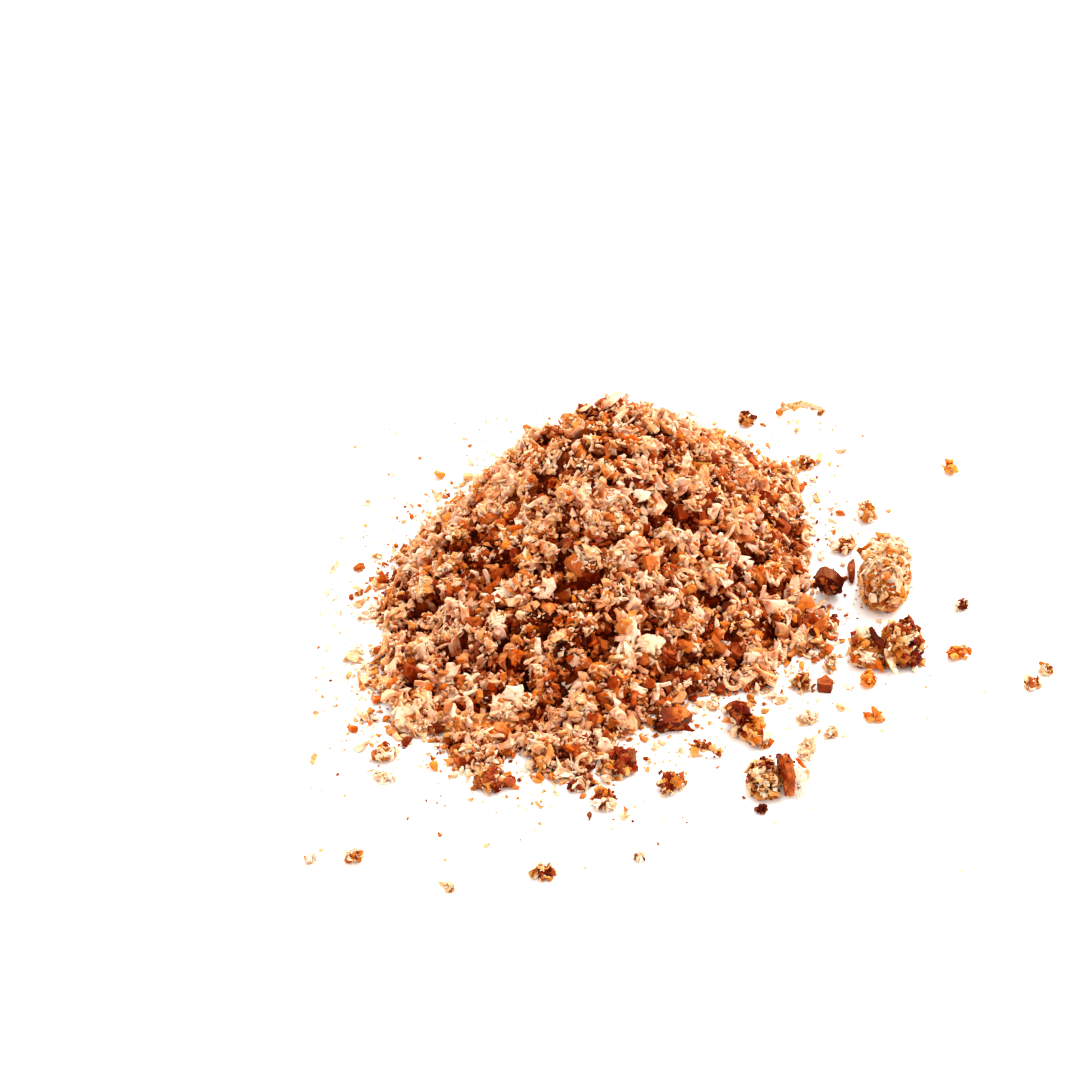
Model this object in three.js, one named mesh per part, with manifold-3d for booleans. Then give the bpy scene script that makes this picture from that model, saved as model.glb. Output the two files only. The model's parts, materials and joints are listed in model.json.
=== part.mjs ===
// A heap of freshly ground nutmeg on a table, with the lumps, chips and crumbs that lie round it.
// Millimetres, +Z up, +X to the right of the heap's long front slope and +Y towards its steep back.
// Places are measured on the table from the middle of the heap's base. At the end the whole part is
// moved so that the origin is the middle of its own base.
import * as THREE from "three";
import { mergeVertices } from "three/addons/utils/BufferGeometryUtils.js";
import Module from "manifold-3d";

const wasm = await Module();
wasm.setup();

// The heap: a leaning cone of coarse gratings, steep behind its peak and drawn out in front of it.
const HEAP = {
  peak: [0, 6],
  height: 8.9, // at the peak, before the relief
  crown: 0.3, // how blunt the peak is, as a share of each slope's length
  sag: 1.12, // over 1, the slopes flatten towards the foot
  rim: 0.55, // the outermost gratings lie this thick
  thinnest: 0.3, // and nowhere thinner than this
  shoulder: 0.12, // the slopes run out over this last share of the way to the edge
  ragged: 0.035, // how far the edge strays in and out, as a share of its distance
  rings: 16, // rings of facets from the middle of the base to its edge
};

// The edge of the heap's base, anticlockwise from behind the peak. A smooth closed curve joins these.
const EDGE = [
  [0, 14.6], [-3.5, 12], [-6.5, 9.2], [-9.5, 6.5], [-12, 3.2], [-13.2, -1], [-13.7, -6], [-13.5, -11],
  [-12.3, -14.6], [-9.6, -15.9], [-8.3, -18.2], [-6, -18.3], [-4.9, -16.7], [-3.6, -18.6],
  [-1.2, -18.4], [0.4, -15.9], [2.6, -13.9], [4.6, -12.5], [6.5, -11.4], [9.5, -10.5], [11.8, -8],
  [14.3, -6], [13.2, -3.5], [12.9, 0], [13.3, 3.5], [13, 6.5], [12, 10], [8.8, 13.6], [4.4, 15],
];

// What roughens the heap: broad waves, and clots and coarse grains that stand out as round-topped cells.
const WAVES = { height: 0.7, across: 5.5 };
const CLOTS = { height: 0.9, across: 3.2 };
const COARSE_GRAINS = { height: 0.95, across: 1.7 };

// Gratings coarse enough to show on the heap: thin broken plates, half sunk in its slopes, each tilted
// by up to half of rock degrees from the slope, and spread over this share of the base.
const FLAKES = { count: 18, length: 1.9, width: 1.2, thickness: 0.45, sink: 0.1, rock: 38, spread: 0.9 };

// Crumbs that the heap's foot has run into, so that its edge is ragged. They lie up to inset inside it.
const SKIRT = { count: 13, size: 1.5, inset: 0.9 };

// A lump's flat seat is this far below its middle, as a share of the height above it.
const SEAT = 0.7;

const COLOURS = {
  gratings: "#c98f63",
  cream: "#f0cfa6",
  tan: "#d49a66",
  orange: "#d4742c",
  russet: "#9a4a1e",
  umber: "#5f3320",
  bark: "#3f2a22",
};

// ---- Numbers that look random and always come out the same ----

// From 0 to 1, for whole numbers i, j and k.
function hash(i, j = 0, k = 0) {
  const wave = Math.sin(i * 127.1 + j * 311.7 + k * 74.7) * 43758.5453;
  return wave - Math.floor(wave);
}

// Smooth noise from -1 to 1, which changes over a distance of 1.
function noise(x, y, z) {
  const [i, j, k] = [Math.floor(x), Math.floor(y), Math.floor(z)];
  const ease = (t) => t * t * (3 - 2 * t);
  const [u, v, w] = [ease(x - i), ease(y - j), ease(z - k)];
  let sum = 0;
  for (let corner = 0; corner < 8; corner++) {
    const [a, b, c] = [corner & 1, (corner >> 1) & 1, corner >> 2];
    const share = (a ? u : 1 - u) * (b ? v : 1 - v) * (c ? w : 1 - w);
    sum += share * (2 * hash(i + a, j + b, k + c) - 1);
  }
  return sum;
}

// Round-topped cells about 1 across, from 0 in the cracks between them to 1 on the tallest.
function grains(x, y, z) {
  const [i, j, k] = [Math.floor(x), Math.floor(y), Math.floor(z)];
  let nearest = Infinity;
  let tallness = 0;
  for (let a = -1; a <= 1; a++)
    for (let b = -1; b <= 1; b++)
      for (let c = -1; c <= 1; c++) {
        const [p, q, r] = [i + a, j + b, k + c];
        const dx = p + hash(p, q, r) - x;
        const dy = q + hash(q, r, p + 11) - y;
        const dz = r + hash(r, p, q + 23) - z;
        const distance = Math.hypot(dx, dy, dz);
        if (distance < nearest) {
          nearest = distance;
          tallness = 0.45 + 0.55 * hash(p + 5, q + 7, r + 9);
        }
      }
  return tallness * Math.max(0, 1 - nearest * nearest);
}

// ---- Solids ----

// A closed three.js geometry as a solid that can be cut and joined.
function solid(geometry) {
  const bare = geometry.clone();
  for (const name of Object.keys(bare.attributes)) if (name !== "position") bare.deleteAttribute(name);
  const merged = mergeVertices(bare, 1e-4);
  return new wasm.Manifold(
    new wasm.Mesh({
      numProp: 3,
      vertProperties: new Float32Array(merged.attributes.position.array),
      triVerts: new Uint32Array(merged.index.array),
    }),
  );
}

// The solid's own faces as a geometry again.
function facets(body) {
  const mesh = body.getMesh();
  const geometry = new THREE.BufferGeometry();
  geometry.setAttribute("position", new THREE.BufferAttribute(mesh.vertProperties, 3));
  geometry.setIndex(new THREE.BufferAttribute(mesh.triVerts, 1));
  const flat = geometry.toNonIndexed();
  flat.computeVertexNormals();
  return flat;
}

// What is left of a solid above the table, which gives it a flat foot.
function onTable(body) {
  const reach = 60;
  const below = new THREE.BoxGeometry(reach, reach, reach).translate(0, 0, -reach / 2);
  return body.subtract(solid(below));
}

// Moves every corner of a geometry to where shape(corner) puts it.
function reshaped(geometry, shape) {
  const place = geometry.attributes.position;
  const corner = new THREE.Vector3();
  for (let i = 0; i < place.count; i++) {
    corner.fromBufferAttribute(place, i);
    shape(corner);
    place.setXYZ(i, corner.x, corner.y, corner.z);
  }
  return geometry;
}

// A rough lump of length x depth x height, seated on the table at its own origin. square, from 0
// to 1, takes it from an egg towards a block. Grains of cell mm stand out by relief mm.
function lump({ size, detail = 3, cell = 0.8, relief = 0.3, square = 0.25, seed = 1 }) {
  const [length, depth, height] = size;
  const half = new THREE.Vector3(length / 2, depth / 2, height / (1 + SEAT));
  const foot = SEAT * half.z;
  const geometry = reshaped(new THREE.IcosahedronGeometry(1, detail), (p) => {
    const block = Math.max(Math.abs(p.x), Math.abs(p.y), Math.abs(p.z));
    p.multiplyScalar(1 + square * (1 / Math.sqrt(block) - 1));
    p.multiply(half);
    const stands = grains(p.x / cell + seed * 7.3, p.y / cell, p.z / cell) - 0.35;
    const swell = noise(p.x / (3 * cell) + seed * 3.7, p.y / (3 * cell), p.z / (3 * cell));
    p.addScaledVector(p.clone().normalize(), relief * (stands + 0.6 * swell));
    p.z = Math.max(p.z, -foot) + foot;
  });
  return solid(geometry);
}

// A broken plate with an uneven outline of seven corners, lying level at its own origin.
function plate({ size: [length, width, thickness], seed = 1, corners = 7 }) {
  const outline = new THREE.Shape();
  for (let i = 0; i < corners; i++) {
    const turn = ((i + 0.5 * (hash(i, seed) - 0.5)) / corners) * 2 * Math.PI;
    const reach = 0.5 * (0.78 + 0.3 * hash(seed, i));
    const [x, y] = [Math.cos(turn) * reach * length, Math.sin(turn) * reach * width];
    if (i === 0) outline.moveTo(x, y);
    else outline.lineTo(x, y);
  }
  outline.closePath();
  const sheet = new THREE.ExtrudeGeometry(outline, { depth: thickness, bevelEnabled: false });
  return solid(sheet.translate(0, 0, -thickness / 2));
}

// A curved strip of shell or kernel: a flat section carried along an arc of the given length, which
// turns through bend degrees. It lies along X and arches up, with its ends on its own z = 0.
function strip({ size: [length, width, thickness], bend = 90 }) {
  const turn = THREE.MathUtils.degToRad(bend);
  const radius = length / turn;
  const steps = 6;
  const path = new THREE.CatmullRomCurve3(
    Array.from({ length: steps + 1 }, (_, i) => {
      const angle = turn * (i / steps - 0.5);
      return new THREE.Vector3(Math.sin(angle) * radius, 0, (Math.cos(angle) - Math.cos(turn / 2)) * radius);
    }),
  );
  const section = new THREE.Shape();
  const corners = 6;
  for (let i = 0; i < corners; i++) {
    const angle = ((i + 0.5) / corners) * 2 * Math.PI;
    const [x, y] = [(Math.cos(angle) * thickness) / 2, (Math.sin(angle) * width) / 2];
    if (i === 0) section.moveTo(x, y);
    else section.lineTo(x, y);
  }
  section.closePath();
  return solid(new THREE.ExtrudeGeometry(section, { extrudePath: path, steps }));
}

// ---- The heap ----

const edge = new THREE.CatmullRomCurve3(
  EDGE.map(([x, y]) => new THREE.Vector3(x, y, 0)),
  true,
);

// A function that gives the distance from a point to the heap's edge in any direction.
function reachFrom([cx, cy]) {
  const samples = 720;
  const rays = edge
    .getPoints(samples)
    .slice(0, samples)
    .map((p) => ({ angle: Math.atan2(p.y - cy, p.x - cx), reach: Math.hypot(p.x - cx, p.y - cy) }))
    .sort((a, b) => a.angle - b.angle);
  return (angle) => {
    const next = rays.findIndex((ray) => ray.angle >= angle);
    const after = rays[next < 0 ? 0 : next];
    const before = rays[next <= 0 ? samples - 1 : next - 1];
    const turn = (a, b) => (((b - a) % (2 * Math.PI)) + 2 * Math.PI) % (2 * Math.PI);
    const share = turn(before.angle, angle) / Math.max(turn(before.angle, after.angle), 1e-9);
    return before.reach + (after.reach - before.reach) * Math.min(share, 1);
  };
}

const reachFromPeak = reachFrom(HEAP.peak);
const reachFromMiddle = reachFrom([0, 0]);

// How far the slopes come down in a direction: the edge's distance, evened out over a wide fan.
function slopeReach(angle) {
  const fan = [-36, -24, -12, 0, 12, 24, 36].map((degrees) => angle + THREE.MathUtils.degToRad(degrees));
  const wrap = (turn) => Math.atan2(Math.sin(turn), Math.cos(turn));
  return fan.reduce((sum, turn) => sum + reachFromPeak(wrap(turn)), 0) / fan.length;
}

// The heap's height over a point of the table. It falls from the peak to the rim along each ray, and
// where the edge juts out past the slopes, the gratings lie only as thick as the rim.
function heapHeight(x, y) {
  const [dx, dy] = [x - HEAP.peak[0], y - HEAP.peak[1]];
  const [distance, angle] = [Math.hypot(dx, dy), Math.atan2(dy, dx)];
  const down = Math.min(distance / slopeReach(angle), 1);
  const out = Math.min(distance / reachFromPeak(angle), 1);
  const blunt = (t) => Math.hypot(t, HEAP.crown) - HEAP.crown;
  const fade = Math.min(1, (1 - out) / HEAP.shoulder);
  const rise = fade * (1 - blunt(down) / blunt(1)) ** HEAP.sag;
  const cells = (kind, layer) => kind.height * (grains(x / kind.across, y / kind.across, layer) - 0.4);
  const waves = WAVES.height * noise(x / WAVES.across + 3, y / WAVES.across, 0.5);
  const height = HEAP.rim + (HEAP.height - HEAP.rim) * rise + fade * waves;
  return height + fade * cells(CLOTS, 0.5) + cells(COARSE_GRAINS, 4.5);
}

// The heap's skin: a sphere whose upper half is laid out over the base, so that its facets are about
// as large everywhere, and whose lower half goes under the table.
function heapSkin() {
  const depth = 3;
  const skin = new THREE.IcosahedronGeometry(1, HEAP.rings - 1);
  return reshaped(skin, (p) => {
    const angle = Math.atan2(p.y, p.x);
    const [east, north] = [Math.cos(angle), Math.sin(angle)];
    const reach = reachFromMiddle(angle);
    const out = Math.sqrt(Math.max(1 - Math.abs(p.z), 0));
    const stray = 1 + HEAP.ragged * out ** 4 * noise(reach * east, reach * north, 9);
    p.x = reach * out * stray * east;
    p.y = reach * out * stray * north;
    p.z = p.z < 0 ? depth * p.z : Math.max(heapHeight(p.x, p.y), HEAP.thinnest);
  });
}

// A thing laid on the heap's slope: tilted with it, turned by turn and rocked a little more.
function onSlope(body, x, y, seed) {
  const step = 1.2;
  const degrees = (rise) => THREE.MathUtils.radToDeg(Math.atan(rise / (2 * step)));
  const slopeX = degrees(heapHeight(x + step, y) - heapHeight(x - step, y));
  const slopeY = degrees(heapHeight(x, y + step) - heapHeight(x, y - step));
  const rock = (axis) => FLAKES.rock * (hash(seed, axis) - 0.5);
  return body
    .rotate([rock(1), rock(2), 360 * hash(seed, 3)])
    .rotate([slopeY, -slopeX, 0])
    .translate([x, y, heapHeight(x, y) - FLAKES.sink]);
}

// Coarse flakes spread over the slopes by the golden angle, like seeds in a sunflower's head.
function heapFlakes() {
  const goldenAngle = Math.PI * (3 - Math.sqrt(5));
  return Array.from({ length: FLAKES.count }, (_, i) => {
    const angle = i * goldenAngle;
    const out = FLAKES.spread * Math.sqrt((i + 0.6) / FLAKES.count);
    const reach = reachFromMiddle(Math.atan2(Math.sin(angle), Math.cos(angle))) * out;
    const scale = 0.7 + 0.6 * hash(i, 40);
    const size = [FLAKES.length * scale, FLAKES.width * scale, FLAKES.thickness];
    return onSlope(plate({ size, seed: i + 60 }), reach * Math.cos(angle), reach * Math.sin(angle), i);
  });
}

// Crumbs along the heap's edge, joined to it and standing out a little way beyond it.
function heapSkirt() {
  return Array.from({ length: SKIRT.count }, (_, i) => {
    const place = edge.getPointAt((i + 0.5 * hash(i, 17)) / SKIRT.count);
    const inwards = 1 - (SKIRT.inset * (0.25 + hash(i, 18) * 0.75)) / place.length();
    const length = SKIRT.size * (0.7 + 0.8 * hash(i, 19));
    const size = [length, length * (0.7 + 0.3 * hash(i, 20)), length * 0.62];
    return lump({ size, detail: 1, cell: 0.6, relief: 0.25, seed: i })
      .rotate([0, 0, 360 * hash(i, 21)])
      .translate([place.x * inwards, place.y * inwards, 0]);
  });
}

function heap() {
  const joined = wasm.Manifold.union([solid(heapSkin()), ...heapFlakes(), ...heapSkirt()]);
  return onTable(joined).decompose().sort((a, b) => b.volume() - a.volume())[0];
}

// ---- What lies round the heap ----

// Two or more lumps stuck together, each with its own place in the clump.
function clump(members) {
  const joined = members.map(({ at: [x, y, z = 0], turn = 0, ...shape }) =>
    lump(shape).rotate([0, 0, turn]).translate([x, y, z]),
  );
  return wasm.Manifold.union(joined);
}

// A clump that a curved band of shell runs over, with a pale flake against its far side.
function bandedLump() {
  const crumbs = clump([
    { at: [-0.7, -0.1], size: [1.9, 2.2, 1.6], cell: 0.55, detail: 2, seed: 3 },
    { at: [0.6, 0.35], size: [1.5, 1.9, 1.4], cell: 0.7, detail: 2, seed: 4 },
  ]);
  const band = strip({ size: [3.6, 0.75, 0.34], bend: 150 }).rotate([0, 0, 96]).translate([0.62, -0.1, 0.72]);
  const flake = plate({ size: [1.7, 1.3, 0.4], seed: 8 }).rotate([52, 8, 60]).translate([1.25, -0.2, 0.6]);
  return onTable(wasm.Manifold.union([crumbs, band, flake]));
}

// Two lobes with a groove between them, one pale and open, one a tight ball.
function twinLump() {
  return clump([
    { at: [-1.2, -0.1], size: [2, 2.2, 1.6], detail: 2, cell: 0.9, seed: 5 },
    { at: [0.95, 0.1], size: [2.6, 2.9, 2.3], cell: 0.7, relief: 0.35, seed: 6 },
    { at: [0.1, -0.9], size: [1.2, 1.1, 0.9], detail: 1, seed: 7 },
  ]);
}

// A clump drawn out over the table: members of shrinking size along a line.
function trail({ size: [length, depth, height], members, seed }) {
  return clump(
    Array.from({ length: members }, (_, i) => {
      const along = members > 1 ? i / (members - 1) - 0.5 : 0;
      const shrink = 1 - 0.35 * Math.abs(2 * along) - 0.2 * hash(i, seed);
      return {
        at: [along * (length - depth * 0.8), 0.35 * depth * (hash(seed, i) - 0.5)],
        size: [depth * 1.05 * shrink, depth * shrink, height * shrink],
        detail: 1,
        cell: 0.6,
        turn: 90 * hash(i, seed, 2),
        seed: seed + i,
      };
    }),
  );
}

// A crumb on its own. The smallest have few facets.
function crumb(size, seed) {
  const detail = size[0] < 0.95 ? 0 : 1;
  return lump({ size, detail, cell: 0.5, relief: 0.15 * size[0], square: 0.3, seed });
}

const roundLump = () => lump({ size: [5, 3.1, 3.5], cell: 1, square: 0.7, seed: 2 });
const shellChip = () => plate({ size: [2.2, 1.9, 0.6], seed: 2 }).rotate([0, 60, 0]);
const flatChip = () => plate({ size: [2.5, 1.5, 0.9], seed: 5, corners: 6 }).rotate([14, 0, 0]);
const smallChip = () => plate({ size: [1.15, 1.1, 0.7], seed: 9, corners: 5 });
const shellSliver = () => strip({ size: [1.9, 0.7, 0.35], bend: 40 });
const longSliver = () => strip({ size: [3.2, 0.7, 0.4], bend: 70 });
const shortCrescent = () => strip({ size: [1.9, 0.8, 0.4], bend: 100 });

// The lumps, clumps and chips, by node: place on the table, turn in degrees, colour and solid.
const PIECES = {
  lump_round: [[17.9, -1.5], 80, "gratings", roundLump],
  lump_twin: [[17.6, -7.9], 4, "tan", twinLump],
  lump_banded: [[10.3, -20.1], 0, "tan", bandedLump],
  clump_front: [[0.9, -18.4], 20, "russet", () => trail({ size: [2.6, 1.8, 1.5], members: 3, seed: 21 })],
  clump_spur: [[8.7, -14.9], 112, "russet", () => trail({ size: [4.5, 1.8, 1.5], members: 4, seed: 31 })],
  clump_left: [[-6.9, -20.2], 8, "russet", () => trail({ size: [2.9, 1.7, 1.3], members: 3, seed: 41 })],
  clump_dark: [[-1.6, -20.2], 30, "umber", () => trail({ size: [1.9, 1.3, 1], members: 2, seed: 51 })],
  shell_chip: [[14.4, -1.9], 70, "bark", shellChip],
  plate_chip: [[4.2, -14.6], 6, "umber", flatChip],
  chip_angular: [[13.7, -11], 15, "umber", smallChip],
  sliver_shell: [[15.9, 0.4], 82, "umber", shellSliver],
  sliver_back: [[13.4, 17.6], 4, "tan", longSliver],
  crescent: [[6.1, -17.2], -24, "russet", shortCrescent],
};

// The larger single crumbs: place, turn, colour and length, depth and height.
const CRUMBS = [
  [[16.3, -10.6], 30, "orange", [1.2, 1.1, 0.9]],
  [[-0.1, -21.8], 10, "russet", [1.5, 1.3, 1]],
  [[3.9, -20.4], 50, "russet", [1.6, 1.3, 1.1]],
  [[-3.7, -28.2], 5, "russet", [1.3, 0.9, 0.7]],
  [[-14.9, -26.7], 25, "tan", [1.2, 0.9, 0.7]],
  [[22.1, -7.9], 12, "orange", [1.4, 0.9, 0.8]],
  [[26.5, -10.9], 60, "russet", [0.9, 0.7, 0.6]],
  [[23, 11.2], 80, "orange", [1, 0.8, 0.8]],
  [[22.7, -3.1], 40, "umber", [1, 0.7, 0.6]],
  [[17.2, 6.4], 78, "tan", [2, 1, 0.9]],
  [[15.7, 2.9], 10, "russet", [1.2, 0.9, 0.7]],
  [[9.8, 16.5], 70, "umber", [1.5, 1, 0.9]],
  [[1.9, -26.8], 0, "umber", [0.7, 0.6, 0.6]],
  [[16.5, -14], -10, "orange", [1.5, 0.8, 0.6]],
  [[12.2, -10.9], 20, "russet", [1, 0.9, 0.8]],
  [[9.2, -22.6], 15, "bark", [0.9, 0.6, 0.5]],
  [[12.3, -17.2], 60, "cream", [1.5, 0.9, 0.7]],
  [[12.5, -14.1], 8, "cream", [1.5, 0.7, 0.6]],
  [[-13.4, -17.6], 12, "tan", [1.7, 1, 0.8]],
  [[13.4, 11.9], 5, "russet", [1.1, 0.8, 0.6]],
  [[-13.4, -19.6], 0, "cream", [1.5, 0.7, 0.5]],
  [[13.8, -15.5], 35, "tan", [0.8, 0.7, 0.6]],
  [[14.1, -9], 70, "tan", [1.4, 1, 0.9]],
  [[-17.7, -27], 20, "tan", [0.7, 0.6, 0.5]],
  [[27.6, -9.4], 45, "russet", [0.7, 0.6, 0.5]],
  [[-9.3, -29.5], 0, "tan", [0.7, 0.6, 0.5]],
];

// ---- The part ----

// A named mesh of the solid, set down on the table at its place.
function node(name, [x, y], turn, colour, body) {
  const material = new THREE.MeshStandardMaterial({
    color: COLOURS[colour],
    roughness: colour === "cream" || colour === "gratings" ? 0.85 : 0.65,
    metalness: 0,
    flatShading: true,
  });
  const mesh = new THREE.Mesh(facets(body), material);
  mesh.name = name;
  mesh.position.set(x, y, -body.boundingBox().min[2]);
  mesh.rotation.z = THREE.MathUtils.degToRad(turn);
  return mesh;
}

const groundNutmeg = new THREE.Group();
groundNutmeg.add(node("heap", [0, 0], 0, "gratings", heap()));
for (const [name, [place, turn, colour, shape]] of Object.entries(PIECES)) {
  groundNutmeg.add(node(name, place, turn, colour, shape()));
}
CRUMBS.forEach(([place, turn, colour, size], i) => {
  const number = String(i + 1).padStart(2, "0");
  groundNutmeg.add(node(`crumb_${number}`, place, turn, colour, crumb(size, i + 11)));
});

groundNutmeg.updateMatrixWorld(true);
const middle = new THREE.Box3().setFromObject(groundNutmeg, true).getCenter(new THREE.Vector3());
groundNutmeg.position.set(-middle.x, -middle.y, 0);

export default groundNutmeg;
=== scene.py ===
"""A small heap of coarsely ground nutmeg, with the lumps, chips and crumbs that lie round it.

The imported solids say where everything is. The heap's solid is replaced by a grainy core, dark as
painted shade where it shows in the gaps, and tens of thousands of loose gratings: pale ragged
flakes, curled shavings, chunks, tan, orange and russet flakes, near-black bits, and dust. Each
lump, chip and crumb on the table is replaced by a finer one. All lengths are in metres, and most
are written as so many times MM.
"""

import json
import logging
import math
from collections.abc import Sequence
from dataclasses import dataclass, field, replace
from enum import Enum
from typing import ClassVar

import bpy
import numpy as np
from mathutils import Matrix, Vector


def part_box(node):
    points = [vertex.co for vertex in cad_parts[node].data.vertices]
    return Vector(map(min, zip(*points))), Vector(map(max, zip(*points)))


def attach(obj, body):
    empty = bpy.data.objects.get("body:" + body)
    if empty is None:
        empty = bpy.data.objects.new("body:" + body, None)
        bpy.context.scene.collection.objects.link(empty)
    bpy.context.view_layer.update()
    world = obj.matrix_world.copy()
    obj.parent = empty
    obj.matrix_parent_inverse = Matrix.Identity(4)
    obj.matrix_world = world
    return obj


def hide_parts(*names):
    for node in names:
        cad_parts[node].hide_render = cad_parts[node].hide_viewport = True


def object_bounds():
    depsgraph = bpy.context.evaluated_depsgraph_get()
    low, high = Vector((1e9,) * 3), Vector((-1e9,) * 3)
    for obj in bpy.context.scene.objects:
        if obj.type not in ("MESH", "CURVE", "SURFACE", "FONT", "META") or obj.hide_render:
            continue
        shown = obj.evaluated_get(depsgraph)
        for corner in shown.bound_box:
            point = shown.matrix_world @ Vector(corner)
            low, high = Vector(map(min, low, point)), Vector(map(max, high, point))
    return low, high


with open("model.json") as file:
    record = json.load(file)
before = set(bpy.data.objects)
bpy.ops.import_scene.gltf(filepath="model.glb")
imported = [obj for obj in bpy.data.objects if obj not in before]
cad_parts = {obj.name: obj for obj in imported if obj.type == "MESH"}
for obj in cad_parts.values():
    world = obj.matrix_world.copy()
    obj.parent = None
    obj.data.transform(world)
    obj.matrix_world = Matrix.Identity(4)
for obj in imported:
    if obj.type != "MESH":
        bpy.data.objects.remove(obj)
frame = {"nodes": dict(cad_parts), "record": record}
CAD_BOX = [list(corner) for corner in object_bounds()]

MM = 0.001
log = logging.getLogger("ground_nutmeg")

Array = np.ndarray
Random = np.random.Generator
Triple = tuple[float, float, float]
Span = tuple[float, float]


# ---- Noise and random turns, worked out as whole arrays ----

AXIS_FACTORS = (73856093, 19349663, 83492791)
STIRRERS = (2654435761, 2246822519, 3266489917)
WORD = 0xFFFFFFFF


def lattice(cells: Array, salt: int) -> Array:
    """Gives each whole-number cell its own even random number.

    Formula: the three whole numbers times large odd numbers, joined bit by bit and stirred.

    Args:
        cells: Whole numbers of shape (..., 3).
        salt: Another whole number, so that one cell has several random numbers.

    Returns:
        Numbers from 0 to 1 of shape (...).
    """
    each = cells.astype(np.int64) * np.array(AXIS_FACTORS)
    mixed = ((each[..., 0] ^ each[..., 1] ^ each[..., 2]) + salt * STIRRERS[0]) & WORD
    mixed = ((mixed ^ (mixed >> 15)) * STIRRERS[1]) & WORD
    mixed = ((mixed ^ (mixed >> 13)) * STIRRERS[2]) & WORD
    return (mixed ^ (mixed >> 16)) / (WORD + 1.0)


def waves(points: Array, across: float, salt: int = 0) -> Array:
    """Smooth noise that changes over one distance.

    Formula: a random number at each corner of a cubic lattice, eased in between along each axis.

    Args:
        points: Places of shape (..., 3).
        across: The lattice's spacing.
        salt: Which noise of that spacing.

    Returns:
        Numbers from -1 to 1 of shape (...).
    """
    scaled = points / across
    whole = np.floor(scaled)
    part = scaled - whole
    ease = part * part * (3 - 2 * part)
    total = np.zeros(points.shape[:-1])
    for corner in range(8):
        offset = np.array([corner & 1, corner >> 1 & 1, corner >> 2])
        share = np.prod(np.where(offset == 1, ease, 1 - ease), axis=-1)
        total += share * lattice(whole + offset, salt)
    return 2 * total - 1


@dataclass(frozen=True)
class Cells:
    """Round cells that fill space, as a place sees them.

    nearest is how far the middle of the place's own cell is, border how much farther the next one
    is, both in cell widths, and chance is the cell's own random number.
    """

    nearest: Array
    border: Array
    chance: Array

    @staticmethod
    def around(points: Array, across: float, salt: int = 0) -> "Cells":
        """Finds the cells at places.

        Formula: one random point in each cube of a lattice, the distances to the nearest of them
        and to the second nearest, and a random number from the nearest one's cube.

        Args:
            points: Places of shape (..., 3).
            across: About how wide a cell is.
            salt: Which cells of that width.

        Returns:
            The cells, each number of shape (...).
        """
        scaled = points / across
        whole = np.floor(scaled)
        nearest = np.full(points.shape[:-1], np.inf)
        second = nearest.copy()
        chance = np.zeros(points.shape[:-1])
        for step in np.ndindex(3, 3, 3):
            cube = whole + np.array(step) - 1
            middle = np.stack([lattice(cube, salt + axis) for axis in (1, 2, 3)], axis=-1)
            distance = np.linalg.norm(cube + middle - scaled, axis=-1)
            closer = distance < nearest
            second = np.where(closer, nearest, np.minimum(second, distance))
            chance = np.where(closer, lattice(cube, salt + 4), chance)
            nearest = np.where(closer, distance, nearest)
        return Cells(nearest, second - nearest, chance)


def smooth_step(share: Array) -> Array:
    """Eases 0 to 1 with level ends, and holds the rest."""
    held = np.clip(share, 0, 1)
    return held * held * (3 - 2 * held)


def unit(vectors: Array) -> Array:
    """Vectors of shape (..., 3) at length 1."""
    return vectors / np.maximum(np.linalg.norm(vectors, axis=-1, keepdims=True), 1e-12)


def turned_frames(normals: Array, lean: float, rng: Random) -> Array:
    """Turns each grain at random about a leaning normal.

    Formula: the normal plus a random vector of length lean, and a random direction crossed with it.

    Args:
        normals: The surface's normals, of shape (n, 3).
        lean: 0 lays the grains flat, and 1 and more tumbles them.
        rng: The source of random numbers.

    Returns:
        Each grain's own X, Y and Z axes as rows, of shape (n, 3, 3).
    """
    up = unit(normals + lean * unit(rng.normal(size=normals.shape)))
    along = unit(np.cross(up, rng.normal(size=normals.shape)))
    return np.stack([along, np.cross(up, along), up], axis=1)


def all_round(rings: int, around: int) -> Array:
    """Directions from a middle, in the order of lantern_faces.

    Formula: straight up, then rings at even angles down a globe, then straight down.

    Args:
        rings: How many rings.
        around: How many directions a ring has.

    Returns:
        Unit vectors of shape (rings * around + 2, 3).
    """
    tilt = (np.arange(rings) + 1)[:, None] * np.pi / (rings + 1)
    angle = np.arange(around)[None, :] * 2 * np.pi / around
    ring = [np.sin(tilt) * np.cos(angle), np.sin(tilt) * np.sin(angle), np.cos(tilt) + 0 * angle]
    return np.concatenate([[[0, 0, 1]], np.stack(ring, -1).reshape(-1, 3), [[0, 0, -1]]])


# ---- Meshes ----


@dataclass
class Grains:
    """Many small closed shapes as one set of points and triangles, with what their finish reads."""

    points: Array
    faces: Array
    grain: Array
    along: Array

    @staticmethod
    def joined(sets: list["Grains"]) -> "Grains":
        """Several sets as one.

        Args:
            sets: The sets, in order.

        Returns:
            One set, whose triangles count the points of all of them.
        """
        starts = np.cumsum([0] + [len(each.points) for each in sets[:-1]])
        return Grains(
            np.concatenate([each.points for each in sets]),
            np.concatenate([each.faces + start for each, start in zip(sets, starts)]),
            np.concatenate([each.grain for each in sets]),
            np.concatenate([each.along for each in sets]),
        )


Part = tuple[Grains, "GratingFinish"]


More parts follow.
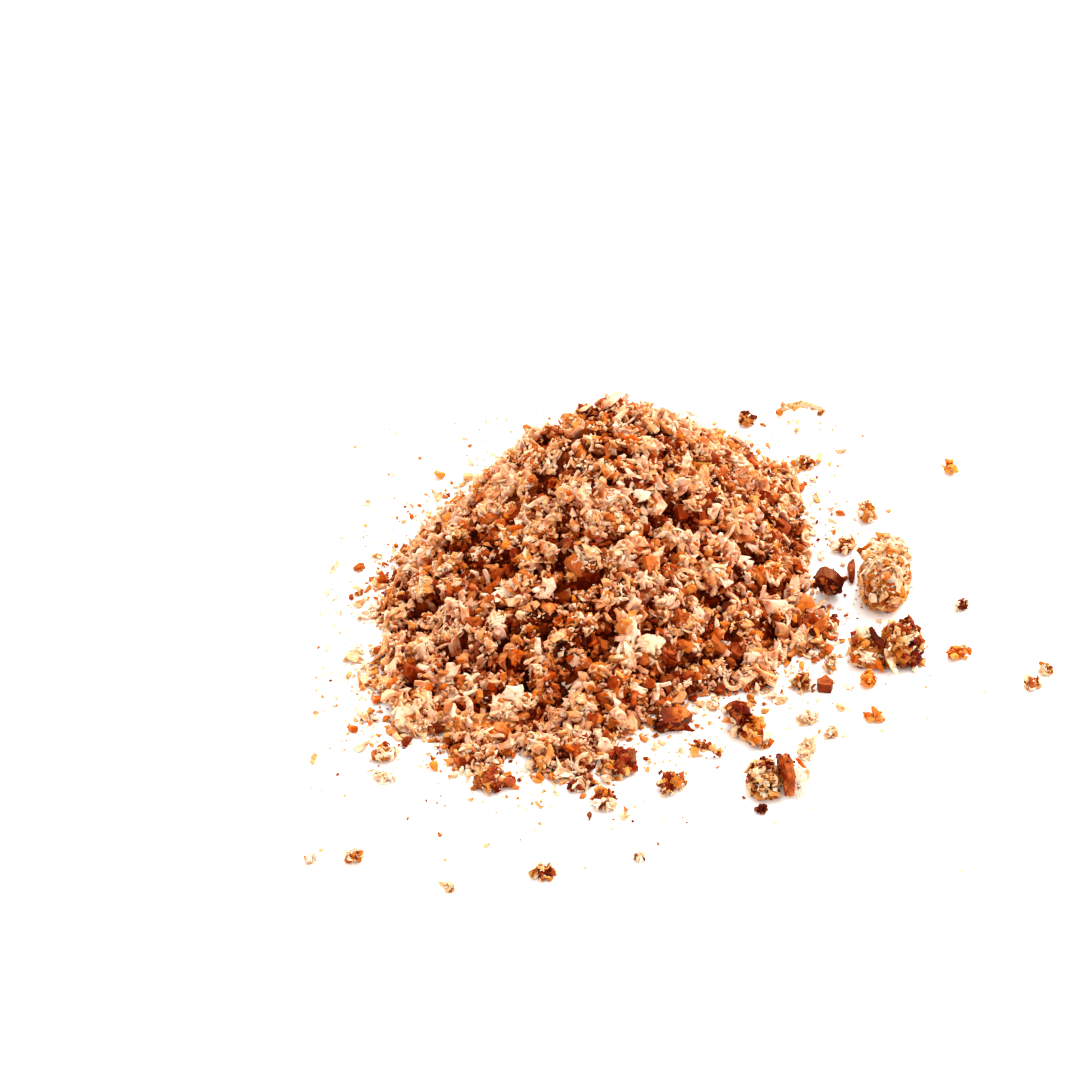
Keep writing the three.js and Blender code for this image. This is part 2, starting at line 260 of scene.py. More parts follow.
def lantern_faces(rings: int, around: int) -> Array:
    """The triangles of a closed shape made of a top pole, rings of points and a bottom pole.

    Args:
        rings: How many rings.
        around: How many points a ring has, anticlockwise seen from the top.

    Returns:
        Point numbers of shape (2 * rings * around, 3), with faces outwards.
    """
    here = np.arange(around)
    there = (here + 1) % around
    top = np.stack([np.zeros(around, int), 1 + here, 1 + there], axis=1)
    start = (1 + np.arange(rings - 1) * around)[:, None]
    upper, upper_next = start + here, start + there
    lower, lower_next = upper + around, upper_next + around
    left = np.stack([upper, lower, lower_next], axis=-1).reshape(-1, 3)
    right = np.stack([upper, lower_next, upper_next], axis=-1).reshape(-1, 3)
    last = 1 + (rings - 1) * around
    pole = np.full(around, 1 + rings * around)
    bottom = np.stack([pole, last + there, last + here], axis=1)
    return np.concatenate([top, left, right, bottom])


def settle(local: Array, axes: Array, middles: Array, floor: bool) -> Array:
    """Turns and places grains, and moves any that would stick out of the solids' box back into it.

    Args:
        local: Each grain's points in its own frame, of shape (n, points, 3).
        axes: Each grain's axes as rows, of shape (n, 3, 3).
        middles: Where each grain is, of shape (n, 3).
        floor: Whether the grains all come down until they touch the table.

    Returns:
        The points in place, of shape (n, points, 3).
    """
    placed = np.einsum("nvi,nij->nvj", local, axes) + middles[:, None, :]
    low, high = (np.array(corner) for corner in CAD_BOX)
    least, most = placed.min(axis=1), placed.max(axis=1)
    shift = np.maximum(low - least, 0) - np.maximum(most - high, 0)
    if floor:
        shift[:, 2] = -least[:, 2]
    return placed + shift[:, None, :]


class Form(Enum):
    """The shapes that a grater leaves, each with its rings of points and how many a ring has."""

    FLAKE = (3, 7)
    PLATE = (5, 20)
    CURL = (7, 4)
    RIBBON = (24, 4)
    CHUNK = (3, 6)
    SPECK = (1, 4)


# Each ring's share of a flake's reach, and of its thickness over the middle.
LEVELS = {
    Form.FLAKE: ((0.8, 0.5), (1.0, 0.0), (0.8, -0.5)),
    Form.PLATE: ((0.45, 0.55), (0.82, 0.45), (1.0, 0.0), (0.82, -0.45), (0.45, -0.55)),
}


@dataclass(frozen=True)
class Cut:
    """How the grains of one kind are shaped.

    length is their middle length and spread how much it varies, breadth and thickness are the range
    of those as shares of the length, bend is the largest turn of a curl or the camber of a flake,
    and ragged how much the outline wanders.
    """

    form: Form
    length: float
    spread: float = 0.3
    breadth: Span = (0.45, 0.9)
    thickness: Span = (0.08, 0.14)
    bend: float = 0.25
    ragged: float = 0.35
    extremes: ClassVar[Span] = (-1.8, 2.2)

    def sizes(self, count: int, rng: Random) -> tuple[Array, Array, Array]:
        """Lengths whose logarithms are spread as a bell curve, with no extremes, and what goes with them.

        Args:
            count: How many.
            rng: The source of random numbers.

        Returns:
            The lengths, breadths and thicknesses, each of shape (count, 1).
        """
        length = self.length * np.exp(self.spread * np.clip(rng.normal(size=(count, 1)), *self.extremes))
        breadth = length * rng.uniform(*self.breadth, (count, 1))
        return length, breadth, length * rng.uniform(*self.thickness, (count, 1))

    def flakes(self, count: int, rng: Random) -> Array:
        """Thin ragged plates.

        Formula: an ellipse whose rim goes in and out at random from point to point, with smaller
        rings over and under it, bent along its length like a dish and twisted.

        Args:
            count: How many.
            rng: The source of random numbers.

        Returns:
            Points of shape (count, rings * around + 2, 3).
        """
        rings, around = self.form.value
        length, wide, thick = self.sizes(count, rng)
        angle = np.arange(around) * 2 * np.pi / around + rng.uniform(-0.25, 0.25, (count, around))
        rim = 1 + self.ragged * rng.uniform(-1.3, 0.8, (count, around))
        points = np.zeros((count, rings * around + 2, 3))
        for ring, (reach, level) in enumerate(LEVELS[self.form]):
            part = points[:, 1 + ring * around : 1 + (ring + 1) * around]
            inset = reach * rim * rng.uniform(0.85, 1.1, rim.shape)
            part[..., 0] = 0.5 * length * inset * np.cos(angle)
            part[..., 1] = 0.5 * wide * inset * np.sin(angle)
            part[..., 2] = level * thick * rng.uniform(0.6, 1.4, rim.shape)
        points[:, 0, 2] = 0.6 * thick[:, 0]
        points[:, -1, 2] = -0.6 * thick[:, 0]
        bow = self.bend * rng.uniform(-1, 1.6, (count, 1))
        twist = self.bend * rng.uniform(-1.5, 1.5, (count, 1))
        x, y = points[..., 0] / length, points[..., 1] / length
        points[..., 2] += 0.5 * length * (bow * (4 * x * x - 0.5) + twist * 4 * x * y)
        return points

    def curls(self, count: int, rng: Random) -> Array:
        """Narrow shavings bent along an arc, a curl by up to its bend and a ribbon by all of it.

        Formula: a flat four-cornered section carried along an arc whose radius grows from one end
        to the other, with ends that narrow, sides that wander and a sideways drift like a spring's.

        Args:
            count: How many.
            rng: The source of random numbers.

        Returns:
            Points of shape (count, 4 * stations + 2, 3).
        """
        stations, around = self.form.value
        length, wide, thick = self.sizes(count, rng)
        turn = self.bend * (1 if self.form is Form.RIBBON else rng.uniform(0.15, 1, (count, 1)))
        share = np.linspace(0, 1, stations)[None, :]
        opening = 1 + rng.uniform(-0.2, 0.6, (count, 1)) * share
        angle = turn * (share - 0.5)
        radius = length / turn * opening
        middle = np.stack([radius * np.sin(angle), 0 * angle, radius * (1 - np.cos(angle))], -1)
        middle[..., 1] = length * rng.uniform(-0.35, 0.35, (count, 1)) * (share - 0.5)
        outward = np.stack([np.sin(angle), 0 * angle, -np.cos(angle)], -1)
        narrow = 0.35 + 0.65 * np.sin(np.pi * np.clip(share, 0.04, 0.96)) ** 0.6
        half = 0.5 * wide * narrow * (1 + self.ragged * rng.uniform(-1, 1, (count, stations)))
        points = np.zeros((count, around * stations + 2, 3))
        for corner, (out, side) in enumerate(((1, 1), (-1, 1), (-1, -1), (1, -1))):
            place = middle + outward * (0.5 * out * thick[..., None])
            wander = 1 + 0.5 * self.ragged * rng.uniform(-1, 1, half.shape)
            place[..., 1] -= side * half * wander
            points[:, 1 + corner : -1 : around] = place
        points[:, 0] = middle[:, 0]
        points[:, -1] = middle[:, -1]
        return points - points.mean(axis=1, keepdims=True)

    def crumbs(self, count: int, rng: Random) -> Array:
        """Broken granules.

        Formula: a ball of a few rings whose points go in and out at random, stretched to a length,
        a breadth and a thickness.

        Args:
            count: How many.
            rng: The source of random numbers.

        Returns:
            Points of shape (count, rings * around + 2, 3).
        """
        rings, around = self.form.value
        size = np.concatenate(self.sizes(count, rng), axis=1)
        tilt = np.repeat((np.arange(rings) + 1) * np.pi / (rings + 1), around)
        angle = np.tile(np.arange(around) * 2 * np.pi / around, rings)
        tilt = tilt + rng.uniform(-0.6, 0.6, (count, rings * around)) / (rings + 1)
        angle = angle + rng.uniform(-1.5, 1.5, (count, rings * around)) / around
        ball = np.zeros((count, rings * around + 2, 3))
        ring = [np.sin(tilt) * np.cos(angle), np.sin(tilt) * np.sin(angle), np.cos(tilt)]
        ball[:, 1:-1] = np.stack(ring, -1)
        ball[:, 0, 2] = 1
        ball[:, -1, 2] = -1
        ball *= 1 + self.ragged * rng.uniform(-1, 1, ball.shape[:2])[..., None]
        return ball * (0.5 * size)[:, None, :]

    def make(self, middles: Array, axes: Array, rng: Random, floor: bool = False) -> Grains:
        """Makes one grain at each place.

        Args:
            middles: Where the grains are, of shape (n, 3).
            axes: Their axes as rows, of shape (n, 3, 3).
            rng: The source of random numbers.
            floor: Whether they come down to the table.

        Returns:
            The grains as one set. grain holds each one's tone, another random number and a 0 for its
            share of painted shade, and along its points before they were turned, in millimetres.
        """
        rounded = {Form.CHUNK: self.crumbs, Form.SPECK: self.crumbs}
        shapes = {Form.CURL: self.curls, Form.RIBBON: self.curls} | rounded
        local = shapes.get(self.form, self.flakes)(len(middles), rng)
        count, each = local.shape[:2]
        placed = settle(local, axes, middles, floor)
        numbers = np.repeat(rng.uniform(0, 1, (count, 3)) * np.array([1, 1, 0]), each, axis=0)
        faces = lantern_faces(*self.form.value)[None] + (np.arange(count) * each)[:, None, None]
        return Grains(placed.reshape(-1, 3), faces.reshape(-1, 3), numbers, local.reshape(-1, 3) / MM)


def add_piece(name: str, slot: str, parts: list[Part], *nodes: str, crease: float = 20.0) -> None:
    """Puts sets of grains into one mesh object at the origin, on the one body.

    Args:
        name: The piece's name.
        slot: The name of its finish in the record. Not used.
        parts: Each set with its finish.
        nodes: The solids that it stands for.
        crease: How many degrees two facets may turn from each other and still be shaded as one
            curved surface.
    """
    finishes = list(dict.fromkeys(finish for _, finish in parts))
    sets = [Grains.joined([grains for grains, other in parts if other == finish]) for finish in finishes]
    whole = Grains.joined(sets)
    corners = 3 * len(whole.faces)
    slots = np.repeat(np.arange(len(sets)), [len(grains.faces) for grains in sets])
    mesh = bpy.data.meshes.new(name)
    mesh.vertices.add(len(whole.points))
    mesh.vertices.foreach_set("co", whole.points.astype(np.float32).ravel())
    mesh.loops.add(corners)
    mesh.loops.foreach_set("vertex_index", whole.faces.astype(np.int32).ravel())
    mesh.polygons.add(len(whole.faces))
    mesh.polygons.foreach_set("loop_start", np.arange(0, corners, 3, dtype=np.int32))
    mesh.polygons.foreach_set("material_index", slots.astype(np.int32))
    mesh.polygons.foreach_set("use_smooth", np.full(len(whole.faces), True))
    for label, values in (("grain", whole.grain), ("along", whole.along)):
        attribute = mesh.attributes.new(label, "FLOAT_VECTOR", "POINT")
        attribute.data.foreach_set("vector", values.astype(np.float32).ravel())
    for finish in finishes:
        mesh.materials.append(Finishes.of(finish))
    mesh.update(calc_edges=True)
    mesh.set_sharp_from_angle(angle=math.radians(crease))
    piece = bpy.data.objects.new(name, mesh)
    bpy.context.scene.collection.objects.link(piece)
    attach(piece, "root")
    if nodes:
        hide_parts(*nodes)
    log.info("%s: %d triangles", piece.name, len(piece.data.polygons))


# ---- Finishes ----

Colour = tuple[float, float, float, float]
Shade = tuple[int, int, int]


def display(shade: Sequence[int]) -> Colour:
    """Turns a colour as a display shows it into linear light.

    Formula: each channel over 255, then the standard display curve undone.

    Args:
        shade: Red, green and blue from 0 to 255.

    Returns:
        The linear red, green and blue, and an alpha of 1.
    """
    shares = (channel / 255 for channel in shade)
    red, green, blue = (c / 12.92 if c <= 0.04045 else ((c + 0.055) / 1.055) ** 2.4 for c in shares)
    return (red, green, blue, 1.0)


class Wire:
    """One socket of a material's nodes, with arithmetic that adds Math nodes."""

    def __init__(self, tree: "FinishTree", socket: bpy.types.NodeSocket) -> None:
        """Wraps a socket of a tree."""
        self.tree = tree
        self.socket = socket

    def __add__(self, other: "Wire | float") -> "Wire":
        """self + other."""
        return self.tree.math("ADD", self, other)

    def __radd__(self, other: float) -> "Wire":
        """other + self."""
        return self.tree.math("ADD", other, self)

    def __sub__(self, other: "Wire | float") -> "Wire":
        """self - other."""
        return self.tree.math("SUBTRACT", self, other)

    def __rsub__(self, other: float) -> "Wire":
        """other - self."""
        return self.tree.math("SUBTRACT", other, self)

    def __mul__(self, other: "Wire | float") -> "Wire":
        """self * other."""
        return self.tree.math("MULTIPLY", self, other)

    def __rmul__(self, other: float) -> "Wire":
        """other * self."""
        return self.tree.math("MULTIPLY", other, self)

    def clamped(self) -> "Wire":
        """self, held between 0 and 1."""
        return self.tree.math("ADD", self, 0.0, clamp=True)


class FinishTree:
    """The nodes of one material, built from Python expressions."""

    def __init__(self, name: str) -> None:
        """Starts a material with only a shader and its output.

        Args:
            name: The material's name.
        """
        self.material = bpy.data.materials.new(name)
        self.material.use_nodes = True
        self.nodes = self.material.node_tree.nodes
        self.nodes.clear()
        output = self.nodes.new("ShaderNodeOutputMaterial")
        self.shader = self.nodes.new("ShaderNodeBsdfPrincipled")
        self.link(self.shader.outputs["BSDF"], output.inputs["Surface"])

    def link(self, start: bpy.types.NodeSocket, end: bpy.types.NodeSocket) -> None:
        """Joins two sockets."""
        self.material.node_tree.links.new(start, end)

    def feed(self, socket: bpy.types.NodeSocket, value: object) -> None:
        """Links a wire to a socket, or sets the socket to a value.

        Args:
            socket: The socket of a node.
            value: A wire, a number, a colour or a vector.
        """
        if isinstance(value, Wire):
            self.link(value.socket, socket)
        else:
            socket.default_value = value

    def node(self, kind: str, settings: dict, sockets: dict) -> bpy.types.Node:
        """Adds any node.

        Args:
            kind: The node's type, without the ShaderNode that every type starts with.
            settings: Its properties, set first. stops are a colour ramp's places and colours.
            sockets: Values or wires by the input's name or number.

        Returns:
            The node.
        """
        made = self.nodes.new("ShaderNode" + kind)
        for key, value in settings.items():
            if key == "stops":
                elements = made.color_ramp.elements
                while len(elements) < len(value):
                    elements.new(1.0)
                for element, (place, colour) in zip(elements, value):
                    element.position = place
                    element.color = colour
            else:
                setattr(made, key, value)
        for key, value in sockets.items():
            self.feed(made.inputs[key], value)
        return made

    def wire(self, kind: str, settings: dict, sockets: dict, output: int | str = 0) -> Wire:
        """A wire from an output of a new node."""
        return Wire(self, self.node(kind, settings, sockets).outputs[output])

    def math(self, operation: str, first: object, second: object, clamp: bool = False) -> Wire:
        """A Math node on two values."""
        return self.wire("Math", {"operation": operation, "use_clamp": clamp}, {0: first, 1: second})

    def scaled(self, vector: Wire, by: Triple, shift: Wire) -> Wire:
        """A vector times three numbers, plus one number on every axis."""
        made = self.wire("VectorMath", {"operation": "MULTIPLY"}, {0: vector, 1: by})
        return self.wire("VectorMath", {"operation": "ADD"}, {0: made, 1: shift})

    def mix(self, first: object, second: object, share: object) -> Wire:
        """A colour between two colours."""
        return self.wire("Mix", {"data_type": "RGBA"}, {"Factor": share, 6: first, 7: second}, 2)

    def ramp(self, share: Wire, stops: tuple) -> Wire:
        """The colour at a share of the way along a row of colours."""
        return self.wire("ValToRGB", {"stops": stops}, {"Fac": share})

    def noise(self, vector: Wire, scale: float, detail: float) -> Wire:
        """Smooth noise from 0 to 1 at a place."""
        sockets = {"Vector": vector, "Scale": scale, "Detail": detail, "Roughness": 0.6}
        return self.wire("TexNoise", {}, sockets)

    def step(self, share: Wire, low: float, high: float) -> Wire:
        """0 below low, 1 above high and even in between."""
        return self.wire("MapRange", {"clamp": True}, {"Value": share, "From Min": low, "From Max": high})

    def attribute(self, name: str) -> tuple[Wire, list[Wire]]:
        """A named vector of the mesh.

        Args:
            name: Its name.

        Returns:
            The vector, and its three numbers.
        """
        whole = self.wire("Attribute", {"attribute_name": name}, {}, "Vector")
        split = self.node("SeparateXYZ", {}, {0: whole})
        return whole, [Wire(self, socket) for socket in split.outputs]

    def place(self) -> Wire:
        """Where a point of the surface is, in metres."""
        return self.wire("TexCoord", {}, {}, "Object")

    def bump(self, height: Wire, strength: float, depth: float) -> Wire:
        """The normal of a surface that a height raises."""
        return self.wire("Bump", {}, {"Height": height, "Strength": strength, "Distance": depth})

    def dress(self, **sockets: object) -> bpy.types.Material:
        """Sets or links the shader's sockets.

        Args:
            sockets: Values or wires by the socket's name, with _ for a space.

        Returns:
            The material.
        """
        for name, value in sockets.items():
            self.feed(self.shader.inputs[name.replace("_", " ").title().replace("Ior", "IOR")], value)
        return self.material


@dataclass(frozen=True)
class GratingFinish:
    """The finish of one kind of grating.

    tones are the row of shades that the grains of the kind run through, each after its place in the
    row. streak is the shade of the fibres along a grain, stain that of the oily patches on it and
    speck that of the dots, each with how much of it shows. The colour after the speck is painted
    shade: what a grain is painted towards where it lies low among the others. glow is how much light
    goes through it.
    """

    name: str
    tones: tuple[tuple[float, int, int, int], ...]
    streak: tuple[int, int, int, float]
    stain: tuple[int, int, int, float]
    speck: tuple[int, int, int, float] = (92, 28, 10, 0.0)
    painted_shade: Shade = (92, 24, 4)
    roughness: Span = (0.5, 0.8)
    shine: float = 0.02
    glow: float = 0.0
    grit: ClassVar[float] = 0.04 * MM
    mottle_scale: ClassVar[float] = 2.2 / MM
    patch_scale: ClassVar[float] = 1.5 / MM
    dot_scale: ClassVar[float] = 3.0 / MM
    fibre_scale: ClassVar[Triple] = (1.2, 7.0, 7.0)
    scatter: ClassVar[float] = 0.4 * MM

    def material(self) -> bpy.types.Material:
        """Builds the nodes.

        Returns:
            A material that reads the attributes grain and along and Object coordinates.
        """
        tree = FinishTree(self.name)
        # The third grain number is how much painted shade each point gets.
        _, (tone, chance, painted_shade_share) = tree.attribute("grain")
        along, _ = tree.attribute("along")
        place = tree.place()
        mottle = tree.noise(place, self.mottle_scale, 3.0)
        shade = (tone * 0.9 + mottle * 0.6 - 0.25).clamped()
        colour = tree.ramp(shade, tuple((at, display(rgb)) for at, *rgb in self.tones))
        fibres = tree.noise(tree.scaled(along, self.fibre_scale, chance * 60.0), 1.0, 1.0)
        marks = (
            (self.streak, fibres, 0.48, 0.72),
            (self.stain, tree.noise(place, self.patch_scale, 1.5), 0.5, 0.64),
            (self.speck, tree.noise(place, self.dot_scale, 1.0), 0.58, 0.7),
        )
        for (*mark, share), pattern, low, high in marks:
            colour = tree.mix(colour, display(mark), tree.step(pattern, low, high) * share)
        # Painted shade: the colour is pulled towards the painted shade colour by the third grain number,
        # more where the mottle is low.
        colour = tree.mix(colour, display(self.painted_shade), (painted_shade_share * (1.3 - mottle * 0.8)).clamped())
        low, high = self.roughness
        return tree.dress(
            base_color=colour,
            roughness=low + (high - low) * tree.step(mottle, 0.3, 0.7),
            normal=tree.bump(fibres + mottle, 0.6, self.grit),
            specular_ior_level=self.shine,
            subsurface_weight=self.glow,
            subsurface_radius=(1.0, 0.5, 0.25),
            subsurface_scale=self.scatter,
        )


class Finishes:
    """Every finish, made once and shared."""

    made: dict[str, bpy.types.Material] = {}

    @classmethod
    def of(cls, finish: GratingFinish) -> bpy.types.Material:
        """The material of a finish.

        Args:
            finish: The finish.

        Returns:
            Its material, which is built when it is first asked for.
        """
        if finish.name not in cls.made:
            cls.made[finish.name] = finish.material()
        return cls.made[finish.name]


CREAM = GratingFinish(
    name="cream kernel",
    tones=((0.0, 206, 142, 86), (0.25, 224, 176, 134), (0.6, 234, 201, 170), (1.0, 238, 209, 188)),
    streak=(204, 142, 84, 0.3),
    stain=(188, 104, 36, 0.5),
    speck=(112, 46, 12, 0.5),
    painted_shade=(166, 64, 8),
    roughness=(0.5, 0.75),
    glow=0.5,
)
PALE = replace(
    CREAM,
    name="white kernel",
    tones=((0.0, 216, 170, 128), (0.5, 230, 199, 170), (1.0, 237, 213, 196)),
    stain=(188, 104, 36, 0.3),
    speck=(112, 46, 12, 0.2),
    painted_shade=(196, 108, 50),
)
TAN = GratingFinish(
    name="tan kernel",
    tones=((0.0, 136, 68, 16), (0.35, 182, 112, 48), (0.7, 209, 154, 94), (1.0, 225, 186, 140)),
    streak=(156, 80, 30, 0.3),
    stain=(164, 76, 16, 0.5),
    speck=(74, 18, 3, 0.45),
    painted_shade=(142, 42, 2),
    roughness=(0.45, 0.75),
    glow=0.4,
)
ORANGE = GratingFinish(
    name="orange oil layer",
    tones=((0.0, 166, 70, 10), (0.4, 201, 106, 28), (0.75, 221, 140, 56), (1.0, 232, 171, 102)),
    streak=(150, 56, 12, 0.35),
    stain=(238, 180, 126, 0.5),
    speck=(110, 30, 6, 0.4),
    painted_shade=(152, 42, 2),
    roughness=(0.35, 0.65),
    shine=0.05,
    glow=0.45,
)
RUSSET = GratingFinish(
    name="russet oil layer",
    tones=((0.0, 102, 24, 3), (0.35, 146, 59, 12), (0.7, 178, 90, 31), (1.0, 202, 124, 61)),
    streak=(92, 26, 7, 0.4),
    stain=(214, 128, 70, 0.45),
    speck=(58, 10, 2, 0.5),
    painted_shade=(102, 15, 1),
    roughness=(0.3, 0.6),
    shine=0.05,
    glow=0.25,
)
RIND = replace(
    RUSSET, name="dark red rind", tones=((0.0, 80, 12, 4), (0.5, 128, 40, 16), (1.0, 170, 84, 48))
)
BARK = GratingFinish(
    name="dark shell",
    tones=((0.0, 40, 6, 2), (0.45, 76, 20, 6), (0.8, 112, 50, 24), (1.0, 152, 98, 68)),
    streak=(122, 62, 30, 0.35),
    stain=(120, 38, 10, 0.4),
    painted_shade=(46, 6, 1),
    roughness=(0.35, 0.65),
    shine=0.04,
)
SHELL = GratingFinish(
    name="brown shell",
    tones=((0.0, 84, 20, 4), (0.4, 138, 56, 14), (0.75, 180, 92, 36), (1.0, 204, 122, 62)),
    streak=(90, 28, 8, 0.5),
    stain=(70, 16, 4, 0.4),
    roughness=(0.25, 0.55),
    shine=0.1,
    glow=0.2,
)
# The core shows only in the gaps between the loose gratings, and its dark tones stand for the shade there:
# painted shade.
PAINTED_SHADE_CORE = GratingFinish(
    name="packed gratings",
    tones=((0.0, 90, 17, 2), (0.4, 130, 44, 7), (0.75, 168, 80, 28), (1.0, 204, 130, 72)),
    streak=(84, 24, 7, 0.3),
    stain=(60, 10, 2, 0.6),
    painted_shade=(70, 8, 1),
    shine=0.0,
)


# ---- The heap ----


def node_triangles(node: str) -> Array:
    """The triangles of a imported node.

    Args:
        node: The node's name.

    Returns:
        Corners of shape (n, 3, 3).
    """
    mesh = frame["nodes"][node].data
    mesh.calc_loop_triangles()
    points = np.zeros(3 * len(mesh.vertices), np.float32)
    mesh.vertices.foreach_get("co", points)
    corners = np.zeros(3 * len(mesh.loop_triangles), np.int32)
    mesh.loop_triangles.foreach_get("vertices", corners)
    return points.reshape(-1, 3)[corners.reshape(-1, 3)].astype(float)


@dataclass
class HeapField:
    """The heap's solid as a height over each cell of the table, with the relief of its clots."""

    node: str = "heap"
    pitch: float = 0.11 * MM
    margin: float = 12 * MM
    softening: int = 12
    clot_width: float = 1.75 * MM
    clot_height: float = 0.5 * MM
    gap: float = 0.34
    pit_width: float = 1.1 * MM
    pit_depth: float = 0.9 * MM
    pit_level: float = -0.18
    thin: float = 0.7 * MM
    lowest: float = 0.02 * MM
    skin: float = 0.12 * MM
    slope_step: float = 0.17 * MM
    steepest: float = 2.2
    strewn_patches: Span = (2.2 * MM, 0.9 * MM)

    def __post_init__(self) -> None:
        """Lays the solid's upward triangles into the cells, measures round them and adds the relief."""
        triangles = node_triangles(self.node)
        flat = triangles[..., :2]
        edges = flat[:, 1:] - flat[:, :1]
        area = edges[:, 0, 0] * edges[:, 1, 1] - edges[:, 0, 1] * edges[:, 1, 0]
        upward = area > 1e-13
        flat, level, area = flat[upward], triangles[upward][..., 2], area[upward]
        self.corner: Array = flat.min(axis=(0, 1)) - self.margin
        size = np.ceil((flat.max(axis=(0, 1)) + self.margin - self.corner) / self.pitch).astype(int) + 1
        self.height: Array = np.zeros(size)
        first = np.floor((flat.min(axis=1) - self.corner) / self.pitch).astype(int)
        widest = int(np.ceil((flat.max(axis=1) - flat.min(axis=1)).max() / self.pitch)) + 2
        window = np.stack(np.indices((widest, widest)), -1).reshape(-1, 2)
        cells = first[:, None, :] + window
        spots = self.corner + (cells + 0.5) * self.pitch
        shares = []
        for here, there in ((1, 2), (2, 0)):
            start, end = flat[:, None, here], flat[:, None, there]
            along, over = end - start, spots - start
            shares.append((along[..., 0] * over[..., 1] - along[..., 1] * over[..., 0]) / area[:, None])
        shares.append(1 - shares[0] - shares[1])
        weights = np.stack(shares, -1)
        covered = (weights > -1e-6).all(axis=-1)
        levels = (weights * level[:, None, :]).sum(-1)
        np.maximum.at(self.height, tuple(cells[covered].T), levels[covered])
        self.inside = self.height > self.lowest
        for _ in range(self.softening):
            self.height = self.softened(self.height)
        self.outside_by = self.distances()
        self.relieve()

    @staticmethod
    def softened(grid: Array) -> Array:
        """A grid evened out once, each cell with the eight round it by the weights 1, 2, 1."""
        padded = np.pad(grid, 1, mode="edge")
        rows = (padded[:-2] + 2 * padded[1:-1] + padded[2:]) / 4
        return (rows[:, :-2] + 2 * rows[:, 1:-1] + rows[:, 2:]) / 4

    def distances(self) -> Array:
        """How far each cell is outside the heap, found by growing the heap cell by cell.

        Returns:
            Distances of the height grid's shape, 0 inside the heap.
        """
        distance = np.full(self.inside.shape, self.margin)
        distance[self.inside] = 0
        grown = self.inside.copy()
        for step in range(int(self.margin / self.pitch)):
            padded = np.pad(grown, 1)
            wider = padded[:-2, 1:-1] | padded[2:, 1:-1] | padded[1:-1, :-2] | padded[1:-1, 2:] | grown
            if step % 2:
                wider |= padded[:-2, :-2] | padded[2:, :-2] | padded[:-2, 2:] | padded[2:, 2:]
            distance[wider & ~grown] = (step + 1) * self.pitch
            grown = wider
        return distance

    def relieve(self) -> None:
        """Adds clots of gratings and the gaps between them to the height.

        Formula: round-topped cells of two widths on the softened height. A cell's edge falls away
        where the nearest and the second nearest middle are about as far, and the fine cells are
        half as high. Pits lie where a noise of the grains' own width is lowest. All of it fades out
        where the heap is thin.
        """
        spots = self.centres()
        spots[..., 2] = self.height
        coarse = Cells.around(spots, self.clot_width, 11)
        fine = Cells.around(spots, 0.48 * self.clot_width, 23)
        swell = waves(spots, 2.6 * self.clot_width, 31)
        pits = smooth_step((self.pit_level - waves(spots, self.pit_width, 37)) / 0.3)
        shut = smooth_step(coarse.border / self.gap)
        nook = smooth_step(fine.border / self.gap)
        rise = 0.75 * shut - 0.35 * coarse.nearest**2 + 0.45 * coarse.chance + 0.4 * nook + 0.35 * swell
        fade = np.clip(self.height / self.thin, 0, 1)
        raised = self.height + fade * (self.clot_height * (rise - 1.15) - self.pit_depth * pits)
        self.surface = np.where(self.inside, np.maximum(raised, self.skin), 0)
        # How open each cell is: fewer gratings lie where it is low, and the core and the loose gratings get
        # painted shade there.
        self.open_to_air = np.clip(1 - fade + fade * shut * (0.45 + 0.55 * nook) * (1 - 0.92 * pits), 0, 1)
        self.mood = coarse.chance

    def read(self, grid: Array, spots: Array) -> Array:
        """A grid's value at places between its cells.

        Args:
            grid: Values on the cells.
            spots: Places of shape (..., 2).

        Returns:
            The four nearest cells' values, shared out by distance.
        """
        place = (spots - self.corner) / self.pitch - 0.5
        whole = np.clip(np.floor(place).astype(int), 0, np.array(grid.shape) - 2)
        part = np.clip(place - whole, 0, 1)
        i, j = whole[..., 0], whole[..., 1]
        u, v = part[..., 0], part[..., 1]
        low = grid[i, j] * (1 - u) + grid[i + 1, j] * u
        high = grid[i, j + 1] * (1 - u) + grid[i + 1, j + 1] * u
        return low * (1 - v) + high * v

    def normals(self, spots: Array) -> Array:
        """The surface's normals, from how its height changes to both sides of a place.

        Args:
            spots: Places of shape (n, 2).

        Returns:
            Unit vectors of shape (n, 3).
        """
        rise = []
        for offset in self.slope_step * np.eye(2):
            ahead, behind = self.read(self.surface, spots + offset), self.read(self.surface, spots - offset)
            rise.append(np.clip((ahead - behind) / (2 * self.slope_step), -self.steepest, self.steepest))
        return unit(np.stack([-rise[0], -rise[1], np.ones_like(rise[0])], axis=-1))

    def spots(self, weights: Array, count: int, rng: Random) -> Array:
        """Random places on the table, as often in each cell as its weight says.

        Args:
            weights: A weight for each cell.
            count: How many places.
            rng: The source of random numbers.

        Returns:
            Places of shape (count, 2).
        """
        share = weights.ravel() / weights.sum()
        chosen = rng.choice(share.size, size=count, p=share)
        cells = np.stack(np.unravel_index(chosen, weights.shape), axis=-1)
        return self.corner + (cells + rng.uniform(0, 1, (count, 2))) * self.pitch

    def centres(self) -> Array:
        """The middle of every cell on the table, of shape (..., 3)."""
        spots = self.corner + (np.stack(np.indices(self.height.shape), axis=-1) + 0.5) * self.pitch
        return np.concatenate([spots, np.zeros(self.height.shape + (1,))], axis=-1)

